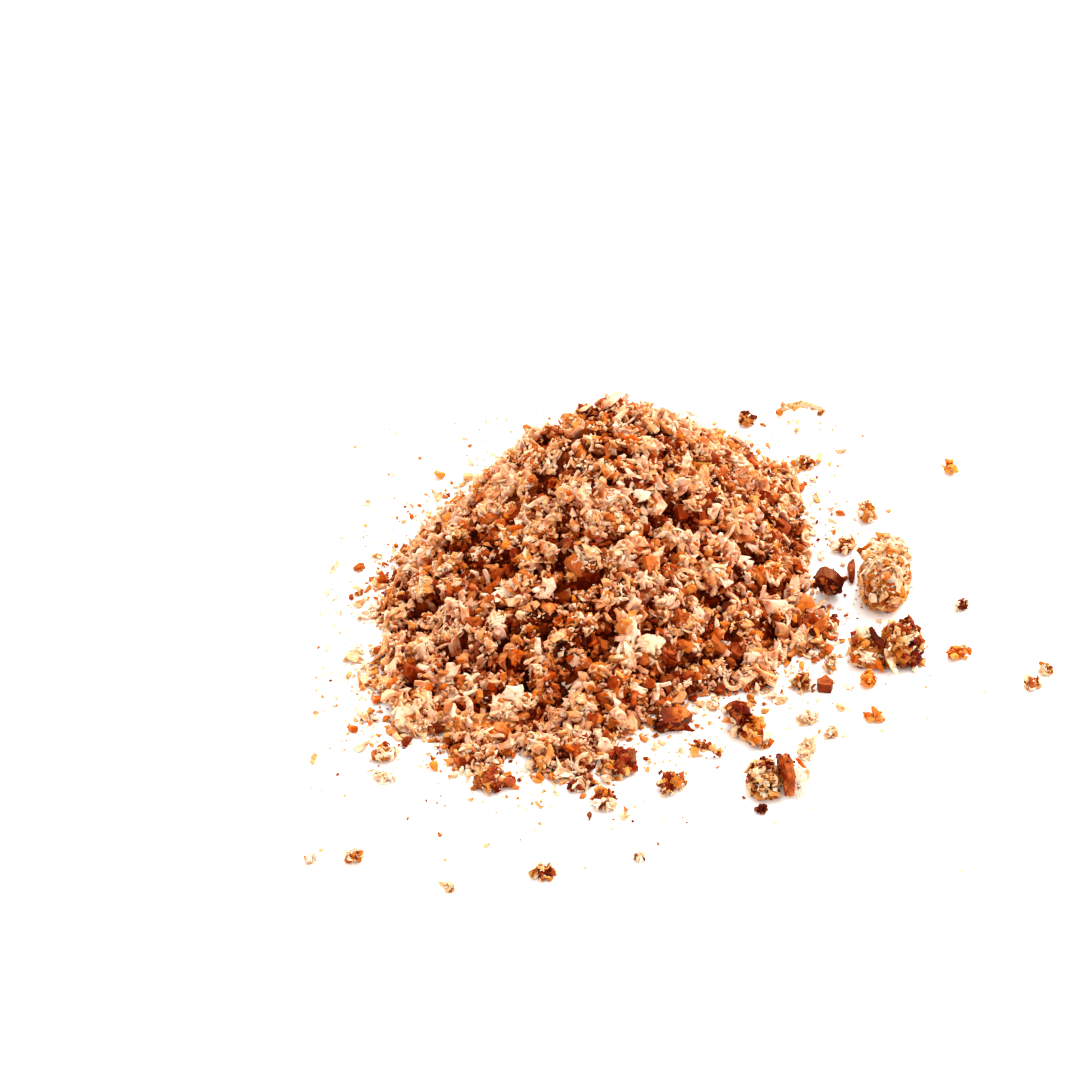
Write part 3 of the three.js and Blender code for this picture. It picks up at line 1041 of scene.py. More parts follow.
    def slope_weights(self, kind: "Kind") -> Array:
        """How often a kind's grains lie in each cell of the heap.

        Formula: the slope's true area, times patches of two widths of the kind's own, times a bell
        round the clots whose random number is near the kind's mood, and less in the gaps between
        clots.

        Args:
            kind: The kind of grating.

        Returns:
            A weight for each cell.
        """
        rise_x, rise_y = np.gradient(self.height, self.pitch)
        area = np.sqrt(1 + rise_x**2 + rise_y**2)
        centres = self.centres()
        fine = waves(centres, 0.45 * kind.patch, kind.seed + 1)
        patches = 1 + kind.contrast * (waves(centres, kind.patch, kind.seed) + 0.7 * fine)
        likes = 0.7 + 1.3 * np.exp(-(((self.mood - kind.mood) / 0.28) ** 2))
        gaps = kind.in_gaps + (1 - kind.in_gaps) * self.open_to_air
        return self.inside * area * np.clip(patches, 0.05, None) * likes * gaps

    def table_weights(self, kind: "Kind") -> Array:
        """How often a kind's grains lie in each cell of the table: less farther off, and in patches.

        Args:
            kind: The kind of grating.

        Returns:
            A weight for each cell.
        """
        spots = self.centres()
        wide, narrow = self.strewn_patches
        patches = waves(spots, wide, kind.seed) + 0.5 * waves(spots, narrow, kind.seed + 1)
        near = np.exp(-self.outside_by / kind.reach)
        low, high = (np.array(corner)[:2] for corner in CAD_BOX)
        boxed = ((spots[..., :2] > low) & (spots[..., :2] < high)).all(axis=-1)
        return (~self.inside & boxed) * near * np.clip(0.25 + patches, 0.02, None)


@dataclass
class HeapCore:
    """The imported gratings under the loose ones: one closed body with fine grainy relief."""

    heap: HeapField
    rings: int = 136
    around: int = 640
    recess: float = 0.4 * MM
    inset: float = 0.25 * MM
    farthest: float = 30 * MM
    grit_width: float = 0.7 * MM
    fine_grit_width: float = 0.36 * MM
    grit_height: float = 0.24 * MM
    least: float = 0.08 * MM
    tone_patch: float = 0.9 * MM
    chance_patch: float = 2 * MM

    def outline(self, middle: Array, angles: Array) -> Array:
        """How far the heap reaches from its middle in each direction.

        Formula: along each ray, the last step that still lies in the heap.

        Args:
            middle: The middle of the heap's base.
            angles: The directions.

        Returns:
            Distances of the angles' shape.
        """
        steps = np.arange(0, self.farthest, 0.5 * self.heap.pitch)
        rays = np.stack([np.cos(angles), np.sin(angles)], -1)
        spots = middle + rays[:, None, :] * steps[None, :, None]
        hit = self.heap.read(self.heap.inside.astype(float), spots) > 0.5
        return (hit * steps).max(axis=1)

    def build(self) -> None:
        """Makes the core, which replaces the heap's solid, and dresses it.

        Formula: rings at even steps from the middle to the edge, at the surface's height less the
        recess plus small round-topped cells, and one flat ring of the edge's points on the table.
        """
        low, high = (np.array(corner)[:2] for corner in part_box("heap"))
        middle = 0.5 * (low + high)
        angles = np.arange(self.around) * 2 * np.pi / self.around
        reach = self.outline(middle, angles) - self.inset
        share = (np.arange(self.rings) + 1) / self.rings
        rays = np.stack([np.cos(angles), np.sin(angles)], -1)
        spots = middle + (share[:, None] * reach)[..., None] * rays
        height = self.heap.read(self.heap.surface, spots) - self.recess
        places = np.concatenate([spots, height[..., None]], -1)
        grit = Cells.around(places, self.grit_width, 41).nearest ** 2
        grit = grit + 0.7 * Cells.around(places, self.fine_grit_width, 43).nearest
        height = np.maximum(height + self.grit_height * (0.6 - grit), self.least)
        rings = np.concatenate([spots, height[..., None]], -1)
        foot = np.concatenate([spots[-1:], np.zeros((1, self.around, 1))], -1)
        top = np.array([[*middle, float(self.heap.read(self.heap.surface, middle)) - self.recess]])
        bottom = np.array([[*middle, 0.0]])
        points = np.concatenate([top, np.concatenate([rings, foot]).reshape(-1, 3), bottom])
        tone = 0.5 + 0.5 * waves(points, self.tone_patch, 51)
        # Painted shade: the core is darker where the clots' gaps shut it in.
        painted_shade_share = 0.5 * (1 - self.heap.read(self.heap.open_to_air, points[:, :2]))
        chance = 0.5 + 0.5 * waves(points, self.chance_patch, 52)
        numbers = np.stack([tone, chance, painted_shade_share], -1)
        grains = Grains(points, lantern_faces(self.rings + 1, self.around), numbers, points / MM)
        add_piece("heap_core", "gratings", [(grains, PAINTED_SHADE_CORE)], "heap", crease=180.0)


@dataclass(frozen=True)
class Kind:
    """One kind of grating: its shape and finish, how many there are, and how they lie.

    perch is the range of heights over the surface, lean how much the grains tumble, mood which clots
    they gather in, in_gaps how many of them lie in the gaps, patch and contrast how they vary over
    the heap, and reach how far they stray over the table.
    """

    name: str
    slot: str
    finish: GratingFinish
    cut: Cut
    on_heap: int
    on_table: int
    perch: Span
    mood: float = 0.5
    in_gaps: float = 0.15
    lean: float = 0.8
    patch: float = 2.4 * MM
    contrast: float = 0.85
    reach: float = 0.9 * MM
    seed: int = 1


KINDS = (
    Kind(
        "dark_bits", "bark", BARK,
        Cut(Form.FLAKE, 0.54 * MM, 0.38, (0.5, 0.95), (0.2, 0.45), bend=0.3, ragged=0.5),
        on_heap=2000, on_table=24, perch=(-0.3 * MM, 0.02 * MM), mood=0.1, in_gaps=0.9, seed=101,
    ),
    Kind(
        "russet_flakes", "russet", RUSSET,
        Cut(Form.FLAKE, 0.62 * MM, 0.42, (0.45, 0.95), (0.2, 0.45), bend=0.5, ragged=0.42),
        on_heap=3650, on_table=110, perch=(-0.28 * MM, 0.06 * MM), mood=0.22, in_gaps=0.8, seed=202,
    ),
    Kind(
        "orange_flakes", "orange", ORANGE,
        Cut(Form.FLAKE, 0.6 * MM, 0.42, (0.45, 0.95), (0.2, 0.45), bend=0.5, ragged=0.42),
        on_heap=2000, on_table=110, perch=(-0.2 * MM, 0.08 * MM), mood=0.4, seed=252,
    ),
    Kind(
        "tan_flakes", "tan", TAN,
        Cut(Form.FLAKE, 0.53 * MM, 0.42, (0.45, 0.9), (0.15, 0.36), bend=0.5, ragged=0.48),
        on_heap=4100, on_table=240, perch=(-0.2 * MM, 0.1 * MM), mood=0.6, seed=303,
    ),
    Kind(
        "pale_chunks", "cream", CREAM,
        Cut(Form.CHUNK, 0.6 * MM, 0.36, (0.45, 0.9), (0.3, 0.6), ragged=0.3),
        on_heap=600, on_table=70, perch=(-0.12 * MM, 0.08 * MM), mood=0.9, in_gaps=0.01,
        reach=2.2 * MM, seed=353,
    ),
    Kind(
        "pale_flakes", "cream", CREAM,
        Cut(Form.FLAKE, 0.69 * MM, 0.46, (0.36, 0.8), (0.07, 0.2), bend=0.6, ragged=0.52),
        on_heap=4200, on_table=380, perch=(-0.08 * MM, 0.18 * MM), mood=0.85, in_gaps=0.01,
        lean=0.75, seed=404,
    ),
    Kind(
        "curled_shavings", "cream", CREAM,
        Cut(Form.CURL, 0.94 * MM, 0.36, (0.22, 0.48), (0.09, 0.15), bend=3.2, ragged=0.4),
        on_heap=1500, on_table=70, perch=(-0.06 * MM, 0.18 * MM), mood=0.8, in_gaps=0.01, lean=1.1, seed=505,
    ),
    Kind(
        "dust", "cream", CREAM,
        Cut(Form.SPECK, 0.32 * MM, 0.35, (0.45, 1.0), (0.3, 0.7), ragged=0.25),
        on_heap=10000, on_table=1000, perch=(-0.1 * MM, 0.22 * MM), in_gaps=0.03, reach=2.2 * MM, seed=606,
    ),
    Kind(
        "dark_dust", "russet", RUSSET,
        Cut(Form.SPECK, 0.28 * MM, 0.35, (0.45, 1.0), (0.3, 0.7), ragged=0.25),
        on_heap=7500, on_table=260, perch=(-0.12 * MM, 0.16 * MM), in_gaps=0.5, reach=2.2 * MM, seed=656,
    ),
)


def plate(length: float, breadth: float, ragged: float = 0.3) -> Cut:
    """A large flake of a length in millimetres and a breadth as a share of it."""
    return Cut(Form.PLATE, length * MM, 0.0, (breadth, breadth), (0.07, 0.1), bend=0.4, ragged=ragged)


def rock(length: float, breadth: float) -> Cut:
    """A large granule of a length in millimetres and a breadth as a share of it."""
    return Cut(Form.PLATE, length * MM, 0.0, (breadth, breadth), (0.36, 0.5), bend=0.3, ragged=0.3)


def ribbon(length: float, breadth: float, bend: float) -> Cut:
    """A large shaving of a length in millimetres, a breadth as a share of it and a bend in radians."""
    return Cut(Form.RIBBON, length * MM, 0.0, (breadth, breadth), (0.1, 0.12), bend=bend, ragged=0.16)


@dataclass(frozen=True)
class Laid:
    """One large grating laid at a given place.

    at is its place in shares of a node's box, where a third share is the height and without it the
    grating lies on the surface. tone runs from the finish's first colour to its last. turn is how far
    its length is turned from X and tilt how far its face leans to the front, in degrees. lift is how
    far it stands out.
    """

    finish: GratingFinish
    cut: Cut
    at: tuple[float, ...]
    tone: float
    turn: float = 0.0
    tilt: float = 46.0
    lift: float = 0.26 * MM

    def grains(self, middle: Array, rng: Random) -> Grains:
        """Makes the grating.

        Formula: its face starts level with its length along X, is turned by turn about its own
        normal and then leans over to the front by tilt.

        Args:
            middle: Where it lies.
            rng: The source of random numbers.

        Returns:
            The grating.
        """
        turn, tilt = math.radians(self.turn), math.radians(self.tilt)
        up = np.array([0.0, -math.sin(tilt), math.cos(tilt)])
        back = np.array([0.0, math.cos(tilt), math.sin(tilt)])
        along = math.cos(turn) * np.array([1.0, 0.0, 0.0]) + math.sin(turn) * back
        axes = np.stack([along, np.cross(up, along), up])[None]
        made = self.cut.make((middle + self.lift * up)[None], axes, rng)
        made.grain[:, 0] = self.tone
        return made


# The dark shell rocks in this table are partly the nutmeg's own dark bits and partly dark pieces put where
# the gaps between the gratings look black: painted shade.
ON_HEAP = (
    # The top and the back edge.
    Laid(CREAM, rock(1.0, 0.85), (0.53, 0.68), 1.0),
    Laid(BARK, rock(0.8, 0.7), (0.48, 0.66), 0.2),
    Laid(CREAM, plate(1.4, 0.85), (0.61, 0.65), 0.75, turn=-10),
    Laid(ORANGE, plate(1.6, 0.5), (0.56, 0.64), 0.1, turn=-12),
    Laid(CREAM, plate(1.9, 0.3), (0.68, 0.63), 0.9, turn=84),
    Laid(RUSSET, rock(1.0, 0.8), (0.5, 0.6), 0.0, turn=80),
    Laid(RUSSET, rock(1.2, 0.8), (0.77, 0.75), 0.15),
    Laid(BARK, rock(0.7, 0.7), (0.44, 0.57), 0.1),
    Laid(TAN, rock(1.2, 0.95), (0.49, 0.54), 0.4),
    Laid(CREAM, plate(1.1, 0.5), (0.62, 0.56), 1.0, turn=-20),
    Laid(BARK, rock(1.2, 0.6), (0.56, 0.55), 0.5),
    Laid(CREAM, plate(1.3, 0.7), (0.58, 0.53), 0.9),
    Laid(BARK, rock(0.7, 0.7), (0.47, 0.53), 0.1),
    Laid(CREAM, plate(1.7, 0.34), (0.5, 0.5), 0.9, turn=-24),
    Laid(CREAM, plate(1.3, 0.8), (0.57, 0.5), 0.85, turn=10),
    Laid(CREAM, ribbon(2.2, 0.22, 4.2), (0.53, 0.47), 0.9, turn=80, tilt=20),
    # The right slope.
    Laid(CREAM, plate(1.4, 0.8), (0.84, 0.63), 1.0, turn=-30),
    Laid(CREAM, plate(1.4, 0.6), (0.775, 0.58), 0.7, turn=-25),
    Laid(CREAM, plate(1.3, 0.65), (0.82, 0.59), 0.7, turn=-30),
    Laid(BARK, plate(1.3, 0.35), (0.93, 0.69), 0.6, turn=4),
    Laid(ORANGE, rock(0.8, 0.9), (0.93, 0.76), 0.0),
    Laid(CREAM, plate(1.4, 0.75), (0.885, 0.575), 0.95, turn=70),
    Laid(RUSSET, rock(1.3, 0.9), (0.8, 0.54), 0.2),
    Laid(BARK, rock(1.1, 0.8), (0.84, 0.53), 0.15),
    Laid(CREAM, plate(1.2, 0.75), (0.77, 0.5), 0.95, turn=60),
    Laid(CREAM, plate(1.7, 0.7), (0.8, 0.49), 1.0, turn=-20),
    Laid(ORANGE, rock(1.3, 0.7), (0.845, 0.47), 0.1, turn=-10),
    Laid(BARK, rock(0.9, 0.6), (0.79, 0.46), 0.1, turn=-40),
    Laid(CREAM, plate(1.1, 0.8), (0.79, 0.37), 1.0, turn=-45),
    Laid(CREAM, plate(1.0, 0.5), (0.765, 0.325), 1.0, turn=-28),
    Laid(ORANGE, rock(1.0, 0.8), (0.745, 0.32), 0.05, turn=60),
    # The middle.
    Laid(BARK, rock(0.8, 0.6), (0.67, 0.41), 0.1, turn=60),
    Laid(CREAM, plate(1.8, 0.58), (0.7, 0.335), 0.85, turn=92),
    Laid(SHELL, rock(1.3, 0.9), (0.66, 0.325), 0.6),
    Laid(CREAM, plate(1.7, 0.6), (0.54, 0.355), 0.95, turn=105),
    Laid(CREAM, ribbon(1.6, 0.2, 2.6), (0.555, 0.3), 0.8, tilt=10),
    Laid(CREAM, plate(1.5, 0.65), (0.555, 0.27), 1.0, turn=82),
    Laid(CREAM, plate(2.1, 0.6), (0.595, 0.262), 0.6, turn=18),
    Laid(RUSSET, rock(1.5, 0.85), (0.635, 0.257), 0.1, lift=0.4 * MM),
    Laid(BARK, rock(1.2, 0.6), (0.685, 0.265), 0.0, turn=-20),
    Laid(CREAM, rock(0.6, 0.9), (0.675, 0.225), 1.0, lift=0.5 * MM),
    Laid(RUSSET, plate(1.4, 0.7), (0.66, 0.23), 0.0),
    Laid(CREAM, ribbon(1.9, 0.16, 1.0), (0.6, 0.205), 1.0, turn=-12, tilt=-20),
    Laid(CREAM, plate(1.2, 0.8), (0.56, 0.185), 0.8),
    # The left slope.
    Laid(ORANGE, plate(1.2, 0.8), (0.45, 0.38), 0.5),
    Laid(CREAM, plate(1.1, 0.9), (0.44, 0.3), 0.9),
    Laid(ORANGE, rock(1.2, 0.95), (0.44, 0.253), 0.6),
    Laid(RUSSET, rock(1.0, 0.8), (0.42, 0.45), 0.0),
    Laid(CREAM, ribbon(1.4, 0.26, 1.8), (0.36, 0.375), 0.9, turn=20, tilt=20),
    Laid(CREAM, ribbon(3.0, 0.15, 5.6), (0.365, 0.262), 1.0, turn=65, tilt=-20),
    Laid(BARK, rock(1.0, 0.8), (0.405, 0.25), 0.0),
    Laid(CREAM, plate(1.7, 0.75), (0.28, 0.39), 0.85, turn=30),
    Laid(CREAM, plate(1.4, 0.6), (0.215, 0.385), 0.7, turn=-5),
    Laid(BARK, rock(0.8, 0.6), (0.275, 0.36), 0.0),
    Laid(CREAM, plate(1.3, 0.85, 0.5), (0.26, 0.325), 0.8),
    Laid(ORANGE, rock(1.2, 0.8), (0.305, 0.25), 0.1, turn=80),
    Laid(CREAM, plate(2.0, 0.45), (0.395, 0.2), 1.0, turn=25),
    Laid(CREAM, plate(0.9, 0.85), (0.43, 0.178), 1.0),
    Laid(CREAM, plate(2.0, 0.7, 0.45), (0.31, 0.18), 0.95, turn=-8),
    Laid(CREAM, plate(1.8, 0.6), (0.28, 0.155), 0.8, turn=-20),
    Laid(CREAM, plate(2.2, 0.17), (0.182, 0.19), 0.9, turn=23),
    Laid(CREAM, ribbon(2.6, 0.16, 5.4), (0.185, 0.14), 0.9, turn=40, tilt=-30),
)


@dataclass
class LargeGratings:
    """The gratings on the heap that are large enough to be told apart, and the dark gaps by them."""

    heap: HeapField
    laid: tuple[Laid, ...] = ON_HEAP
    seed: int = 707

    def build(self) -> None:
        """Makes them as one piece."""
        low, high = (np.array(corner)[:2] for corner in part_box(self.heap.node))
        rng = np.random.default_rng(self.seed)
        made = []
        for laid in self.laid:
            spot = low + np.array(laid.at) * (high - low)
            level = float(self.heap.read(self.heap.surface, spot))
            made.append((laid.grains(np.array([*spot, level]), rng), laid.finish))
        add_piece("large_gratings", "gratings", made)


@dataclass
class LooseGratings:
    """Every loose grating on the heap's slopes and on the table at its foot."""

    heap: HeapField
    kinds: tuple[Kind, ...] = KINDS
    evened: int = 15
    # How deep a point must lie for full painted shade, how much painted shade the clots' gaps add, and the
    # most painted shade that any point gets.
    full_depth: float = 0.55 * MM
    gap_shade: float = 0.4
    strongest_shade: float = 0.88
    strewn_size: float = 0.75

    def paint_depth_shade(self, sets: list[Grains]) -> None:
        """Paints shade on each point by how deep it lies among the gratings round it.

        Formula: the highest point over each cell of the table, evened out over about a third of a
        millimetre, less the point's own height, over the full depth, plus a share of the clots' gaps.

        Args:
            sets: All the loose gratings, whose third grain number, their share of painted shade, is set.
        """
        heap = self.heap
        top = heap.surface.copy()
        for grains in sets:
            cells = np.floor((grains.points[:, :2] - heap.corner) / heap.pitch).astype(int)
            cells = np.clip(cells, 0, np.array(top.shape) - 1)
            np.maximum.at(top, (cells[:, 0], cells[:, 1]), grains.points[:, 2])
        for _ in range(self.evened):
            top = heap.softened(top)
        for grains in sets:
            spots = grains.points[:, :2]
            under = (heap.read(top, spots) - grains.points[:, 2]) / self.full_depth
            shut_in = (1 - heap.read(heap.open_to_air, spots)) * (heap.read(heap.surface, spots) > 0)
            # Painted shade: more the deeper the point lies, and more in the clots' gaps.
            grains.grain[:, 2] = np.clip(np.clip(under, 0, 1) + self.gap_shade * shut_in, 0, self.strongest_shade)

    def on_heap(self, kind: Kind, rng: Random) -> Grains:
        """Lays a kind's grains on the slopes.

        Args:
            kind: The kind.
            rng: The source of random numbers.

        Returns:
            The grains.
        """
        spots = self.heap.spots(self.heap.slope_weights(kind), kind.on_heap, rng)
        normals = self.heap.normals(spots)
        height = self.heap.read(self.heap.surface, spots)
        middles = np.concatenate([spots, height[:, None]], -1)
        middles += normals * rng.uniform(*kind.perch, (kind.on_heap, 1))
        return kind.cut.make(middles, turned_frames(normals, kind.lean, rng), rng)

    def on_table(self, kind: Kind, rng: Random) -> Grains:
        """Strews a kind's grains over the table round the heap.

        Args:
            kind: The kind.
            rng: The source of random numbers.

        Returns:
            The grains, each touching the table.
        """
        spots = self.heap.spots(self.heap.table_weights(kind), kind.on_table, rng)
        middles = np.concatenate([spots, np.zeros((kind.on_table, 1))], -1)
        upright = np.tile([0.0, 0.0, 1.0], (kind.on_table, 1))
        small = replace(kind.cut, length=self.strewn_size * kind.cut.length)
        return small.make(middles, turned_frames(upright, 0.5 * kind.lean, rng), rng, floor=True)

    def build(self) -> None:
        """Makes one piece for each kind."""
        made = []
        for kind in self.kinds:
            rng = np.random.default_rng(kind.seed)
            made.append(Grains.joined([self.on_heap(kind, rng), self.on_table(kind, rng)]))
        self.paint_depth_shade(made)
        for kind, grains in zip(self.kinds, made):
            add_piece(kind.name, kind.slot, [(grains, kind.finish)])


# ---- What lies round the heap ----


@dataclass
class PackedSolid:
    """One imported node's solid, read as triangles."""

    node: str

    def __post_init__(self) -> None:
        """Reads the triangles and the box."""
        self.triangles: Array = node_triangles(self.node)
        self.low, self.high = (np.array(corner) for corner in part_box(self.node))
        self.middle: Array = 0.5 * (self.low + self.high)
        self.size: Array = self.high - self.low

    def reach(self, rays: Array) -> Array:
        """How far the solid reaches from its middle in each direction.

        Formula: where each ray crosses each triangle's plane, and the farthest crossing that lies
        between the triangle's sides.

        Args:
            rays: Unit directions of shape (n, 3).

        Returns:
            Distances of shape (n,).
        """
        first = self.triangles[:, 0]
        side, other = self.triangles[:, 1] - first, self.triangles[:, 2] - first
        cross = np.cross(rays[:, None, :], other[None])
        slant = (cross * side).sum(-1)
        slant = np.where(np.abs(slant) < 1e-15, 1e-15, slant)
        start = self.middle - first
        u = (cross * start).sum(-1) / slant
        turned = np.cross(start, side)
        v = (rays[:, None, :] * turned).sum(-1) / slant
        along = (other * turned).sum(-1) / slant
        hit = (u > -1e-4) & (v > -1e-4) & (u + v < 1 + 1e-4) & (along > 0)
        return np.where(hit, along, 0).max(axis=1)

    def places(self, count: int, toward: Triple, rng: Random) -> tuple[Array, Array]:
        """Random places on the solid's outside, none of them underneath.

        Formula: a triangle is chosen by its area, times e to the power of how far its middle lies
        along an arrow, and a place in it evenly.

        Args:
            count: How many.
            toward: The arrow, in shares of the box's half sides.
            rng: The source of random numbers.

        Returns:
            The places and the normals there, each of shape (count, 3).
        """
        side = self.triangles[:, 1] - self.triangles[:, 0]
        normal = np.cross(side, self.triangles[:, 2] - self.triangles[:, 0])
        area = np.linalg.norm(normal, axis=1)
        middles = self.triangles.mean(axis=1)
        offset = (middles - self.middle) / (0.5 * self.size)
        weight = area * np.exp(offset @ np.array(toward)) * (normal[:, 2] > -0.6 * area)
        chosen = rng.choice(len(area), size=count, p=weight / weight.sum())
        shares = np.sort(rng.uniform(0, 1, (count, 2)), axis=1)
        shares = np.stack([shares[:, 0], shares[:, 1] - shares[:, 0], 1 - shares[:, 1]], -1)
        spots = (self.triangles[chosen] * shares[..., None]).sum(axis=1)
        return spots, unit(normal[chosen])

    def body(self, rings: int, around: int, shrink: float, relief: float, cell: float, salt: int) -> Grains:
        """A closed body inside the solid, with clotted relief.

        Formula: the solid's reach in each direction, less a little, plus round-topped cells of two
        widths, held over the table.

        Args:
            rings: Rings of points from top to bottom.
            around: Points in a ring.
            shrink: How much it stays inside the solid.
            relief: How high the cells stand.
            cell: How wide they are.
            salt: Which cells.

        Returns:
            The body, whose grain attribute runs through the tones in patches and paints shade in the gaps
            between the cells.
        """
        rays = all_round(rings, around)
        reach = self.reach(rays) - shrink
        points = self.middle + rays * reach[:, None]
        coarse = Cells.around(points, cell, salt)
        fine = Cells.around(points, 0.5 * cell, salt + 5)
        bulge = 0.7 * smooth_step(coarse.border / 0.35) - 0.6 * coarse.nearest**2 - 0.3 * fine.nearest
        points = self.middle + rays * np.maximum(reach + relief * bulge, 0.3 * reach)[:, None]
        points[:, 2] = np.maximum(points[:, 2], 0)
        tone = np.clip(0.5 + 0.6 * waves(points, 1.4 * cell, salt + 9), 0, 1)
        # Painted shade in the gaps between the round cells.
        painted_shade_share = 0.4 * (1 - smooth_step(coarse.border / 0.3))
        numbers = np.stack([tone, coarse.chance, painted_shade_share], -1)
        return Grains(points, lantern_faces(rings, around), numbers, (points - self.middle) / MM)


@dataclass(frozen=True)
class Coat:
    """Gratings of one kind that stick to a piece, gathered along an arrow."""

    finish: GratingFinish
    cut: Cut
    count: int
    toward: Triple = (0.0, 0.0, 0.0)
    perch: Span = (-0.16 * MM, 0.02 * MM)
    lean: float = 0.8


GRANULE = Cut(Form.FLAKE, 0.5 * MM, 0.4, (0.5, 0.95), (0.22, 0.5), bend=0.5, ragged=0.42)
FLAKE = Cut(Form.FLAKE, 0.66 * MM, 0.4, (0.4, 0.8), (0.1, 0.28), bend=0.7, ragged=0.46)
SMALL_GRANULE = replace(GRANULE, length=0.36 * MM)
SMALL_FLAKE = replace(FLAKE, length=0.46 * MM, ragged=0.48)
SHAVING = Cut(Form.CURL, 0.8 * MM, 0.3, (0.25, 0.5), (0.08, 0.13), bend=3.2, ragged=0.4)
SPECK = Cut(Form.SPECK, 0.18 * MM, 0.3, (0.5, 1.0), (0.3, 0.8), ragged=0.25)


@dataclass
class TablePiece:
    """What lies by the heap in place of one solid: a body, and the gratings that stick to it.

    coats are strewn over the solid, and laid are put on it one by one, in shares of its box.
    """

    node: str
    slot: str
    finish: GratingFinish
    coats: tuple[Coat, ...] = ()
    laid: tuple[Laid, ...] = ()
    seed: int = 1
    ending: ClassVar[str] = "gratings"

    def body(self, solid: PackedSolid) -> Grains:
        """The body under the gratings, which each sub-class shapes."""
        raise NotImplementedError

    def parts(self, solid: PackedSolid) -> list[Part]:
        """Makes the body and all that sticks to it.

        Args:
            solid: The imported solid.

        Returns:
            Each set of grains with its finish.
        """
        made = [(self.body(solid), self.finish)]
        rng = np.random.default_rng(self.seed)
        for coat in self.coats:
            spots, normals = solid.places(coat.count, coat.toward, rng)
            spots += normals * rng.uniform(*coat.perch, (coat.count, 1))
            made.append((coat.cut.make(spots, turned_frames(normals, coat.lean, rng), rng), coat.finish))
        for one in self.laid:
            middle = solid.low + np.array(one.at) * solid.size
            made.append((one.grains(middle, rng), one.finish))
        return made

    def build(self) -> None:
        """Makes the piece, which replaces its solid."""
        add_piece(f"{self.node}_{self.ending}", self.slot, self.parts(PackedSolid(self.node)), self.node)


